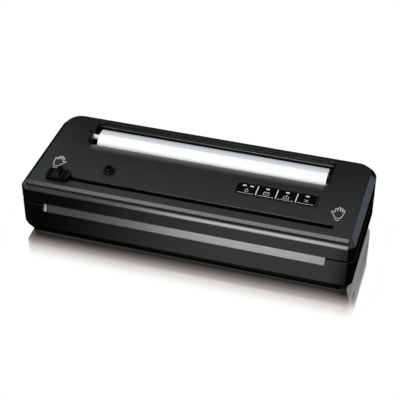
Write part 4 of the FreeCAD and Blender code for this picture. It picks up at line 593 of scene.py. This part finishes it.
def spindle_sleeve():
    bm = bmesh.new()
    tube(bm, [[roll_point(x, r, a, SPINDLE_Z) for a in angles(32)] for x, r in SLEEVE_PROFILE])
    return piece_from(bm, "spindle_sleeve", "rubber_black", "spindle")


print("sleeve:", len(spindle_sleeve().data.polygons), "faces")

# %% [markdown]
# ## Foam gaskets
# Two closed foam rings seal the vacuum channel. Foam bulges between its walls, so its section is a rounded
# one and not the rectangle that the solid has, swept along the rounded path of the channel.

# %% Gaskets
RING_X, RING_FRONT, RING_BACK = 162.0, -55.0, -17.0
RING_CORNER, RING_WIDTH = 10.0, 6.0
CORNER_STEPS, CROWN_STEPS = 10, 8
CROWN, CROWN_WIDE, CROWN_FULL = 1.6, 0.6, 0.8


def ring_path():
    """Points and outward directions along the rounded rectangle of the gasket's middle line."""
    corners = [(RING_X, RING_FRONT, -90), (RING_X, RING_BACK, 0), (-RING_X, RING_BACK, 90),
               (-RING_X, RING_FRONT, 180)]
    path = []
    for x, y, start in corners:
        cx = x - math.copysign(RING_CORNER, x)
        cy = y + RING_CORNER if y == RING_FRONT else y - RING_CORNER
        for i in range(CORNER_STEPS + 1):
            a = math.radians(start + 90 * i / CORNER_STEPS)
            out = Vector((math.cos(a), math.sin(a), 0))
            path.append((Vector((cx, cy, 0)) + RING_CORNER * out, out))
    return path


def gasket(name, node, body, low, high, up):
    """Foam ring; up=1 has its crown on top, up=-1 below."""
    half = RING_WIDTH / 2
    foot, crown = (low, high) if up > 0 else (high, low)
    section = [(-half, foot), (half, foot)]
    for i in range(CROWN_STEPS + 1):
        a = math.pi * i / CROWN_STEPS
        section.append((half * math.copysign(abs(math.cos(a)) ** CROWN_WIDE, math.cos(a)),
                        crown - up * CROWN + up * CROWN * math.sin(a) ** CROWN_FULL))
    bm = bmesh.new()
    skin(bm, [[(point + side * out + Vector((0, 0, z))) * MM for side, z in section]
              for point, out in ring_path()])
    obj = piece_from(bm, name, "foam_black", body, replaces=[node])
    return obj


lower = gasket("gasket_lower_foam", "lower_gasket", "base", 46.8, 51.0, 1)
upper = gasket("gasket_upper_foam", "upper_gasket", "lid", 51.3, 54.8, -1)
print("gaskets:", len(lower.data.polygons), "and", len(upper.data.polygons), "faces")

# %% [markdown]
# ## The press strip
# A silicone strip in the lid presses the bag on the heater. It is extruded, with three ribs that hold the bag
# better than a flat face would. So its section is drawn once and pulled along X.

# %% Press strip
STRIP_X, STRIP_Y = (-157, 157), -65.5
STRIP_HALF, STRIP_TOP, STRIP_EDGE = 3.5, 55.5, 51.0
STRIP_RIBS, STRIP_RIB_ROOT = (2.3, 0.0, -2.3), 50.75


def press_strip():
    section = [(-STRIP_HALF, STRIP_TOP), (STRIP_HALF, STRIP_TOP), (STRIP_HALF, STRIP_EDGE)]
    for middle in STRIP_RIBS:
        section += [(middle + u, STRIP_RIB_ROOT - v) for u, v in half_round(1.05, 0.5, 6)]
    section.append((-STRIP_HALF, STRIP_EDGE))
    bm = bmesh.new()
    tube(bm, [[Vector((x, STRIP_Y + u, v)) * MM for u, v in section] for x in STRIP_X])
    return piece_from(bm, "press_strip_ribbed", "silicone_grey", "lid", replaces=["press_strip"])


print("press strip:", len(press_strip().data.polygons), "faces")

# %% [markdown]
# ## Feet
# Seen from below, the machine stands on four moulded rubber feet with ring grooves that grip the worktop.
# They are turned from one profile, because a real foot is moulded in a turned cavity.

# %% Feet
FOOT_PLACES = [(x, y) for x in (-184, 184) for y in (-55, 55)]
FOOT_PROFILE = [(0, 0.5), (2.2, 0.5), (2.6, 0.0), (4.6, 0.0), (5.0, 0.5), (5.8, 0.5), (6.2, 0.0), (8.1, 0.0),
                (8.7, 0.25), (9.0, 0.9), (9.0, 3.7), (0, 3.7)]
feet = bmesh.new()
for place in FOOT_PLACES:
    lathe(feet, FOOT_PROFILE, place, 48)
piece_from(feet, "feet_grooved", "rubber_black", "base", replaces=["rubber_feet"])
print(len(FOOT_PLACES), "feet")

# %% [markdown]
# ## Screws
# The screws have a domed head with a cross recess. Head and shank are a turned profile. The recess could be
# cut, but it is quicker to fill the face between the head's circle and a cross, and to push the cross in.

# %% Screws
BASE_SCREWS = [(x, y) for x in (-172, 172) for y in (-12, 64)]
LID_SCREWS = [(x, y) for x in (-176, 176) for y in (-25, 48)] + [(-60, 3), (30, 3)]
ARM, WIDTH, DEEP, FLOOR_SHARE = 1.7, 0.45, 0.8, 0.7
FACE_R, DOME_R, HEAD_R, SHANK_R = 2.1, 2.6, 2.8, 1.4
CROSS = [(-WIDTH, -ARM), (WIDTH, -ARM), (WIDTH, -WIDTH), (ARM, -WIDTH), (ARM, WIDTH), (WIDTH, WIDTH),
         (WIDTH, ARM), (-WIDTH, ARM), (-WIDTH, WIDTH), (-ARM, WIDTH), (-ARM, -WIDTH), (-WIDTH, -WIDTH)]


def screw_heads(name, node, body, places, face_z, seat_z, tip_z):
    """Heads look down (-Z): face_z is the lowest point, seat_z where the head meets its seat."""
    bm = bmesh.new()
    wall = [(FACE_R, face_z), (DOME_R, face_z + 0.25), (HEAD_R, face_z + 0.7), (HEAD_R, seat_z),
            (SHANK_R, seat_z), (SHANK_R, tip_z), (0, tip_z)]
    for x, y in places:
        rim = [bm.verts.new(Vector((x + FACE_R * math.cos(a), y + FACE_R * math.sin(a), face_z)) * MM)
               for a in angles(32)]
        mouth, bottom = [[bm.verts.new(Vector((x + share * u, y + share * v, z)) * MM) for u, v in CROSS]
                         for share, z in ((1.0, face_z), (FLOOR_SHARE, face_z + DEEP))]
        edges = []
        for loop in (rim, mouth):
            edges += [bm.edges.new(pair) for pair in zip(loop, loop[1:] + loop[:1])]
        bmesh.ops.triangle_fill(bm, edges=edges, use_beauty=True)
        for side in zip(mouth, mouth[1:] + mouth[:1], bottom[1:] + bottom[:1], bottom):
            bm.faces.new(side)
        bm.faces.new(bottom)
        lathe(bm, wall, (x, y), 32)
    return piece_from(bm, name, "steel", body, replaces=[node])


screw_heads("base_screws_cross", "base_screws", "base", BASE_SCREWS, 2.8, 4.3, 47.4)
screw_heads("lid_screws_cross", "lid_screws", "lid", LID_SCREWS, 53.7, 55.2, 66.0)
print(len(BASE_SCREWS) + len(LID_SCREWS), "screws")

# %% [markdown]
# ## The end of the finger recess
# The left end of the recess along the front shows a short pale bar from its lower to its upper edge, where
# its end face catches the light. It could be a painted stripe. It is made as a thin pale rib lying on the
# slope: a painted highlight, not a stop on the machine.

# %% Recess rib
RECESS_Z = (40.9, 52.0)
RECESS_FRONT, RECESS_FOOT, RECESS_RISE = -83.0, 40.5, 2.0
RECESS_LEFT, RECESS_TAPER = -176.9, 0.047
RIB_WIDTH, RIB_HIGH = 2.6, 0.12


def recess_glint_rib():
    bm = bmesh.new()
    proud = RIB_HIGH * Vector((0, -RECESS_RISE, 1)).normalized()
    rings = []
    for z in RECESS_Z:
        left = RECESS_LEFT - (z - RECESS_Z[0]) * RECESS_TAPER
        near = Vector((left, RECESS_FRONT + (z - RECESS_FOOT) / RECESS_RISE, z))
        far = near + Vector((RIB_WIDTH, 0, 0))
        rings.append([point * MM for point in (near, far, far + proud, near + proud)])
    tube(bm, rings)
    rib = piece_from(bm, "recess_glint_rib", "trim_silver", "base", smooth=False)
    # Pale grey: a painted highlight for the glint at the left end of the recess.
    rib.data.materials[0] = soft("pale grey painted glint", "#9A9C9E", "#ACAEB0", 0.6, 0.4, 0.005)
    return rib


print("recess rib:", len(recess_glint_rib().data.polygons), "faces")

# %% [markdown]
# ## Latch springs
# Behind each release button a small spring of hard steel wire pushes the catch back over its hook. It is
# wound on a mandrel and its end turns are closed, so that it stands square. A rigid coil would run into the
# catch as the button goes in.

# %% Latch springs
SPRING_WIRE = 0.35 * MM
CLOSED_PITCH = 2.1 * SPRING_WIRE
SPRING_TURNS, COIL_STEPS, WIRE_SIDES = 6, 28, 10


def latch_spring(hand):
    node = "latch_spring_" + hand
    low, high = [Vector(corner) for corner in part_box(node)]
    middle = (low + high) / 2
    radius = (high.z - low.z) / 2 - SPRING_WIRE
    length = high.x - low.x - 2 * SPRING_WIRE
    open_pitch = (length - 2 * CLOSED_PITCH) / (SPRING_TURNS - 2)
    bm = bmesh.new()
    rings = []
    for i in range(SPRING_TURNS * COIL_STEPS + 1):
        turn = i / COIL_STEPS
        along = min(turn, 1) * CLOSED_PITCH + max(0, min(turn, SPRING_TURNS - 1) - 1) * open_pitch
        along += max(0, turn - SPRING_TURNS + 1) * CLOSED_PITCH
        outward = Vector((0, math.cos(2 * math.pi * turn), math.sin(2 * math.pi * turn)))
        centre = Vector((low.x + SPRING_WIRE + along, middle.y, middle.z)) + radius * outward
        rings.append([centre + SPRING_WIRE * (math.cos(b) * outward + Vector((math.sin(b), 0, 0)))
                      for b in angles(WIRE_SIDES)])
    tube(bm, rings)
    coil = piece_from(bm, "spring_coil_" + hand, "steel", "base", replaces=[node])
    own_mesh(coil)
    return coil


springs = [latch_spring(hand) for hand in ("right", "left")]
print("springs:", [len(spring.data.polygons) for spring in springs], "faces")

# %% [markdown]
# ## Printed lines
# The keys and the two pressing places on the lid carry pad printed marks in pale grey. They could be painted
# into the material, but print stands a few hundredths proud, so each line is a thin raised ribbon with its
# own ink.

# %% Print ink
PRINT_HIGH, PRINT_SINK = 0.04, 0.02
MITRE_LIMIT = 0.45
finishes["print"] = clouded("pad print ink pale grey", "#C2C4C5", "#DADBDC", 0.6, 0.55)


def ribbon(bm, points, width, z, closed=False):
    """Thin raised line through flat points (mm), mitred at its corners."""
    spots = [Vector((p[0], p[1])) for p in points]
    count = len(spots)
    rings = []
    for i, spot in enumerate(spots):
        before = spots[i - 1] if closed or i else None
        after = spots[(i + 1) % count] if closed or i < count - 1 else None
        into = (spot - before).normalized() if before is not None else (after - spot).normalized()
        out = (after - spot).normalized() if after is not None else into
        along = into + out
        along = along.normalized() if along.length > 1e-6 else out
        side = Vector((-along.y, along.x))
        stretch = 1 / max(MITRE_LIMIT, side.dot(Vector((-out.y, out.x))))
        offset = side * (width / 2 * stretch)
        rings.append([Vector((p.x, p.y, h)) * MM for p, h in (
            (spot + offset, z - PRINT_SINK), (spot + offset, z + PRINT_HIGH),
            (spot - offset, z + PRINT_HIGH), (spot - offset, z - PRINT_SINK))])
    if closed:
        skin(bm, rings)
    else:
        tube(bm, rings)


def rounded_off(points, times=2):
    """Cut each corner of a closed outline, twice, to make it smooth."""
    for _ in range(times):
        points = [q for a, b in zip(points, points[1:] + points[:1]) for q in (
            (0.75 * a[0] + 0.25 * b[0], 0.75 * a[1] + 0.25 * b[1]),
            (0.25 * a[0] + 0.75 * b[0], 0.25 * a[1] + 0.75 * b[1]))]
    return points


def print_mark(name, body, lines, width, centre, z, turn=1):
    bm = bmesh.new()
    for points, closed in lines:
        ribbon(bm, [(centre[0] + turn * u, centre[1] + v) for u, v in points], width, z, closed)
    obj = piece_from(bm, name, "print", body, smooth=False)
    return obj


print("ink ready,", PRINT_HIGH, "mm proud")

# %% [markdown]
# ## Pictograms
# The drawings are generic: an open hand, a chevron, a drop, a bag, an arrow and a cross. They could be cut
# from a drawing file. Lists of points in millimetres keep them in this script, and give lines of one width.

# %% Pictograms
HAND = rounded_off([
    (-3.6, -10.5), (-4.4, -6.5), (-8.8, -1.4), (-9.4, 0.6), (-8.0, 1.6), (-4.7, -1.8), (-5.4, 5.0),
    (-4.8, 7.8), (-3.2, 7.5), (-2.7, 1.6), (-2.1, 9.2), (-1.0, 10.8), (0.2, 9.4), (0.3, 1.6), (1.3, 8.4),
    (2.4, 9.7), (3.3, 8.2), (2.9, 1.2), (4.5, 5.4), (5.7, 6.4), (6.4, 5.2), (5.6, -0.6), (5.2, -4.8),
    (3.9, -8.0), (3.7, -10.5)])
CHEVRON = [(-3.0, 1.2), (0.0, -1.2), (3.0, 1.2)]
HANDS = (("right", 177.5, -29.0, 1), ("left", -177.0, -27.0, -1))
HAND_LINE, CHEVRON_BELOW = 0.75, 14.0
LID_TOP = 78.5
for label, x, y, turn in HANDS:
    print_mark("hand_" + label, "lid", [(HAND, True)], HAND_LINE, (x, y), LID_TOP, turn)
    print_mark("press_" + label, "lid", [(CHEVRON, False)], HAND_LINE, (x, y - CHEVRON_BELOW), LID_TOP)
DROP = rounded_off([(0, 3.4), (1.2, 1.2), (2.1, -0.6), (1.6, -2.6), (0, -3.2), (-1.6, -2.6), (-2.1, -0.6),
                    (-1.2, 1.2)])
BAG = [(-3.2, -2.8), (3.2, -2.8), (3.2, 2.8), (-3.2, 2.8)]
SEAM = [(-3.2, 1.5), (3.2, 1.5)]
ARROW = [(0, -1.6), (0, 4.2)]
ARROW_TIP = [(-1.4, 2.8), (0, 4.2), (1.4, 2.8)]
SMALL_BAG = [(-2.2, 1.2), (-3.2, 1.2), (-3.2, -3.2), (3.2, -3.2), (3.2, 1.2), (2.2, 1.2)]
KEY_MARKS = [
    [(DROP, True)],
    [(BAG, True), (SEAM, False)],
    [(SMALL_BAG, False), (ARROW, False), (ARROW_TIP, False)],
    [([(-2.4, -2.4), (2.4, 2.4)], False), ([(-2.4, 2.4), (2.4, -2.4)], False)],
]
print("printed", 2 * len(HANDS), "marks on the lid")

# %% [markdown]
# ## Keys
# Each key cap has its pictogram and a thin silver line along its front edge, a painted highlight where the
# edge catches the light. The line could be a stripe in the key's finish, but a bead catches the light as a
# real edge does.

# %% Key marks and edges
KEY_TOP = 78.2
KEY_X = [62.1 + 24.5 * n for n in range(4)]
KEY_HALF, KEY_FRONT, KEY_MIDDLE = 9.8, -23.4, -17.6
KEY_LINE, EDGE_SINK = 0.55, 0.02


# A pale lacquer bead along the key's front edge: a painted highlight.
def key_edge_highlight(n):
    bm = bmesh.new()
    section = half_round(0.22, 0.10, 6)
    tube(bm, [[Vector((x, KEY_FRONT + u, KEY_TOP - EDGE_SINK + v)) * MM for u, v in section]
              for x in (KEY_X[n] - KEY_HALF, KEY_X[n] + KEY_HALF)])
    return piece_from(bm, f"key_edge_highlight_{n + 1}", "trim_silver", f"key_{n + 1}")


for n, marks in enumerate(KEY_MARKS):
    key_edge_highlight(n)
    print_mark(f"key_mark_{n + 1}", f"key_{n + 1}", marks, KEY_LINE, (KEY_X[n], KEY_MIDDLE), KEY_TOP)
print("dressed", len(KEY_MARKS), "keys")

# %% [markdown]
# ## The slot's lip
# The cutter slot has a fine raised lip along its back edge, which catches the light as a thin bright line.
# It is a half-round bead of the lid's own plastic that runs out at both ends. A plain edge would be lost in
# the black.

# %% Slot lip
SLOT_LIP_Y, SLOT_LIP_SINK = -53.15, 0.03
SLOT_LIP_RUN = ((-177.0, 0.2), (-176.4, 0.75), (-175.4, 1.0), (173.4, 1.0), (174.4, 0.75), (175.0, 0.2))


def slot_lip():
    bm = bmesh.new()
    section = half_round(0.55, 0.45, 8)
    base = LID_TOP - SLOT_LIP_SINK
    tube(bm, [[Vector((x, SLOT_LIP_Y + size * u, base + size * v)) * MM for u, v in section]
              for x, size in SLOT_LIP_RUN])
    return piece_from(bm, "slot_lip", "lid_black", "lid")


print("slot lip:", len(slot_lip().data.polygons), "faces")

# %% [markdown]
# ## The floor
# The machine stands on polished white acrylic. The camera sees the sheet as plain white, and close to the
# housing as a mirror that fades out, so that the dark front wall comes back as a soft shade under the
# machine. The plastic, in turn, sees the sheet as painted light: a glow between painted black bands on its
# left and right, in place of black cards, and painted shade close to the housing. A paper floor
# would be simpler, but its shadow falls behind the machine, where the real picture is clean.

# %% Floor settings, in metres
FOOTPRINT = (0.200, 0.078)
MIRROR_REACH, MIRROR_FROM = 0.047, (0.085, 0.045)
MIRROR_SHARE, MIRROR_BLUR = 0.987, 0.06
# The sheet gives the dim sweep back as white, so that only the machine shows in it.
MIRROR_GAIN = (1.45, 1.42, 1.40, 1.0)
# Painted light and shade that the plastic sees in the sheet: painted shade close to the machine, a painted
# glow, and painted black bands to left and right.
SHADE_REACH = 0.022
SHEET_LEVEL, SHEET_CLOUD, SHEET_CLOUD_MM = 0.70, 0.94, 90
LEFT_PAINTED_CARD, RIGHT_PAINTED_CARD = (-0.20, 0.06), (0.205, 0.170)
GLOW, GLOW_FROM = 0.6, 0.02
FLOOR_RADIUS = 6.0


def seen_rays(tree, ray):
    """1 for the rays that show the background: straight to the camera, by a mirror or through glass."""
    some = calc(tree, "MAXIMUM", (ray, "Is Camera Ray"), (ray, "Is Glossy Ray"))
    return calc(tree, "MAXIMUM", some, (ray, "Is Transmission Ray"))


def blend(tree, share, first, second):
    """The first shader where share is 0, the second where it is 1."""
    return add(tree, "MixShader", None, Fac=share, _1=(first, 0), _2=(second, 0))


def from_footprint(tree, spot):
    """How far a point lies outside the machine's footprint, and how deep it lies inside."""
    past = [calc(tree, "SUBTRACT", calc(tree, "ABSOLUTE", (spot, axis)), half)
            for axis, half in zip("XY", FOOTPRINT)]
    depths = [calc(tree, "MULTIPLY", side, -1.0) for side in past]
    x, y = [calc(tree, "MAXIMUM", side, 0.0) for side in past]
    away = add(tree, "CombineXYZ", None, X=x, Y=y)
    far = add(tree, "VectorMath", {"operation": "LENGTH"}, _0=(away, "Vector"))
    return (far, "Value"), calc(tree, "MINIMUM", *depths)


print("the mirror fades out", MIRROR_REACH, "m from the machine")

# %% Floor
def floor_material():
    material, tree, shader, here = begin("acrylic sheet polished white")
    spot = split(tree, here)
    far, inside = from_footprint(tree, spot)
    # What the plastic sees: a sheet painted as lit between two painted cards, with painted shade close to the
    # machine.
    between = calc(tree, "MULTIPLY", *[remap(tree, (spot, "X"), *card, smooth=True)
                                       for card in (LEFT_PAINTED_CARD, RIGHT_PAINTED_CARD)])
    cloudy = remap(tree, noise(tree, here, SHEET_CLOUD_MM, 3.0), 0.0, 1.0, SHEET_CLOUD)
    near = remap(tree, far, 0.0, SHADE_REACH, smooth=True)
    sheet = calc(tree, "MULTIPLY", calc(tree, "MULTIPLY", between, cloudy), near)
    feed(tree, shader, Base_Color=two_tone(tree, sheet, "#050505", "#CECECE"), Roughness=0.6)
    # Well under the machine the sheet glows a little, or its underside would be lost in the dark.
    under = remap(tree, inside, 0.0, GLOW_FROM, high=GLOW, smooth=True)
    shown = calc(tree, "MULTIPLY_ADD", sheet, SHEET_LEVEL, under)
    # What the camera sees: white, and a mirror beside and in front of the machine.
    ray = add(tree, "LightPath")
    fade = remap(tree, far, 0.0, MIRROR_REACH, MIRROR_SHARE, 0.0, smooth=True)
    ahead = remap(tree, (spot, "Y"), *MIRROR_FROM, smooth=True)
    polish = calc(tree, "MULTIPLY", calc(tree, "MULTIPLY", fade, ahead), (ray, "Is Camera Ray"))
    # Mirrors and glass see the sheet glow at the painted level, painted light in place of a lit sheet. For
    # the camera the white turns warm where the mirror comes in, a painted tint of the reflected shade.
    white = add(tree, "Emission", None, Strength=calc(tree, "MAXIMUM", (ray, "Is Camera Ray"), shown),
                Color=two_tone(tree, polish, "#FFFFFF", "#FFF3E9"))
    mirror = add(tree, "BsdfGlossy", None, Roughness=MIRROR_BLUR, Color=MIRROR_GAIN)
    both = blend(tree, seen_rays(tree, ray), shader, blend(tree, polish, white, mirror))
    # The sheet is clear from below, so that the underside of the machine can be looked at.
    side = add(tree, "NewGeometry")
    show(tree, blend(tree, (side, "Backfacing"), both, add(tree, "BsdfTransparent")))
    return material


bpy.ops.mesh.primitive_circle_add(vertices=96, radius=FLOOR_RADIUS, fill_type="NGON", location=(0, 0, 0))
floor = bpy.context.active_object
floor.name = "studio_floor"
floor.data.materials.append(floor_material())
print("floor made")

# %% [markdown]
# ## The back card
# A photographer darkens a glossy top with black card just behind it, out of the picture. Here it is velvet
# that only mirrors see, so the flat top darkens towards the back. A darker ceiling would do this too, but it
# would darken the whole top alike.

# %% Back card
BACK_CARD_X, BACK_CARD_Y, BACK_CARD_Z = (-260.0, 240.0), 108.0, (60.0, 194.0)
BACK_CARD_CLIMB = 0.70


def velvet():
    material, tree, shader, here = begin("card black velvet")
    nap = noise(tree, here, 1.0, 2.0)
    feed(tree, shader, Base_Color=two_tone(tree, nap, "#030303", "#060606"), Roughness=1.0)
    # A ray that has come up all the way from the sheet passes through, so the sheet mirrors no card.
    climbed = calc(tree, "MULTIPLY", (add(tree, "LightPath"), "Ray Length"), BACK_CARD_CLIMB)
    from_sheet = calc(tree, "GREATER_THAN", climbed, (split(tree, here), "Z"))
    show(tree, blend(tree, from_sheet, shader, add(tree, "BsdfTransparent")))
    return material


def back_card():
    bm = bmesh.new()
    left, right = BACK_CARD_X
    low, high = BACK_CARD_Z
    bm.faces.new([bm.verts.new(Vector((x, BACK_CARD_Y, z)) * MM) for x, z in (
        (left, low), (right, low), (right, high), (left, high))])
    mesh = bpy.data.meshes.new("studio_back_card")
    bm.to_mesh(mesh)
    bm.free()
    mesh.materials.append(velvet())
    card = bpy.data.objects.new("studio_back_card", mesh)
    scene.collection.objects.link(card)
    for kind in ("camera", "diffuse", "shadow", "transmission"):
        setattr(card, "visible_" + kind, False)


back_card()
print("back card stands", BACK_CARD_Y, "mm behind the middle")

# %% [markdown]
# ## The room
# Black gloss shows its surroundings, not its colour. A white sweep stands round the machine and the ceiling
# above it is slightly dimmer: bevels mirror the sweep, the flat top mirrors the ceiling. In mirrors both are
# a little cool, as daylight tubes are. A picture of a real room would do, but this one has no seams to show.

# %% World
SWEEP_TOP, CEILING_FROM = 16, 34
SWEEP, CEILING, ROOM = 0.85, 0.80, 0.62
world = bpy.data.worlds.new("studio")
scene.world = world
world.use_nodes = True
sky = world.node_tree
sky.nodes.clear()
height = split(sky, (add(sky, "TexCoord"), "Generated"))
rise = [math.sin(math.radians(angle)) for angle in (SWEEP_TOP, CEILING_FROM)]
sweep = remap(sky, (height, "Z"), *rise, SWEEP, CEILING, smooth=True)
ray = add(sky, "LightPath")
plain = add(sky, "Background", None, Strength=calc(sky, "MAXIMUM", (ray, "Is Camera Ray"), sweep),
            Color=two_tone(sky, (ray, "Is Camera Ray"), "#EFF8FF", "#FFFFFF"))
room = add(sky, "Background", None, Strength=ROOM, Color=linear("#F4F6F8"))
add(sky, "OutputWorld", Surface=(blend(sky, seen_rays(sky, ray), room, plain), "Shader"))
print("world made")

# %% [markdown]
# ## Light
# Two softboxes are placed by mirror angle, a low one that the sloped front faces see and a higher one for
# the rounded front edges. Lamps placed for brightness alone would leave the slopes black.

# %% Softboxes
AIM_HEIGHT = 0.05


def softbox(name, turn, rise, distance, size, power):
    """Area lamp that looks at the machine from a compass turn (0 is the front) and a height angle."""
    where = towards(turn, rise) * distance
    lamp = bpy.data.lights.new(name, "AREA")
    lamp.shape = "RECTANGLE"
    lamp.size, lamp.size_y = size
    lamp.energy = power
    obj = bpy.data.objects.new(name, lamp)
    obj.location = where + Vector((0, 0, AIM_HEIGHT))
    obj.rotation_euler = (-where).to_track_quat("-Z", "Y").to_euler()
    scene.collection.objects.link(obj)


softbox("low_softbox", turn=-7.5, rise=29, distance=1.7, size=(0.52, 0.5), power=10)
softbox("high_softbox", turn=-16, rise=56, distance=1.7, size=(1.0, 0.42), power=7.3)
print("softboxes placed")

# %% [markdown]
# ## The end


print("dressing done")
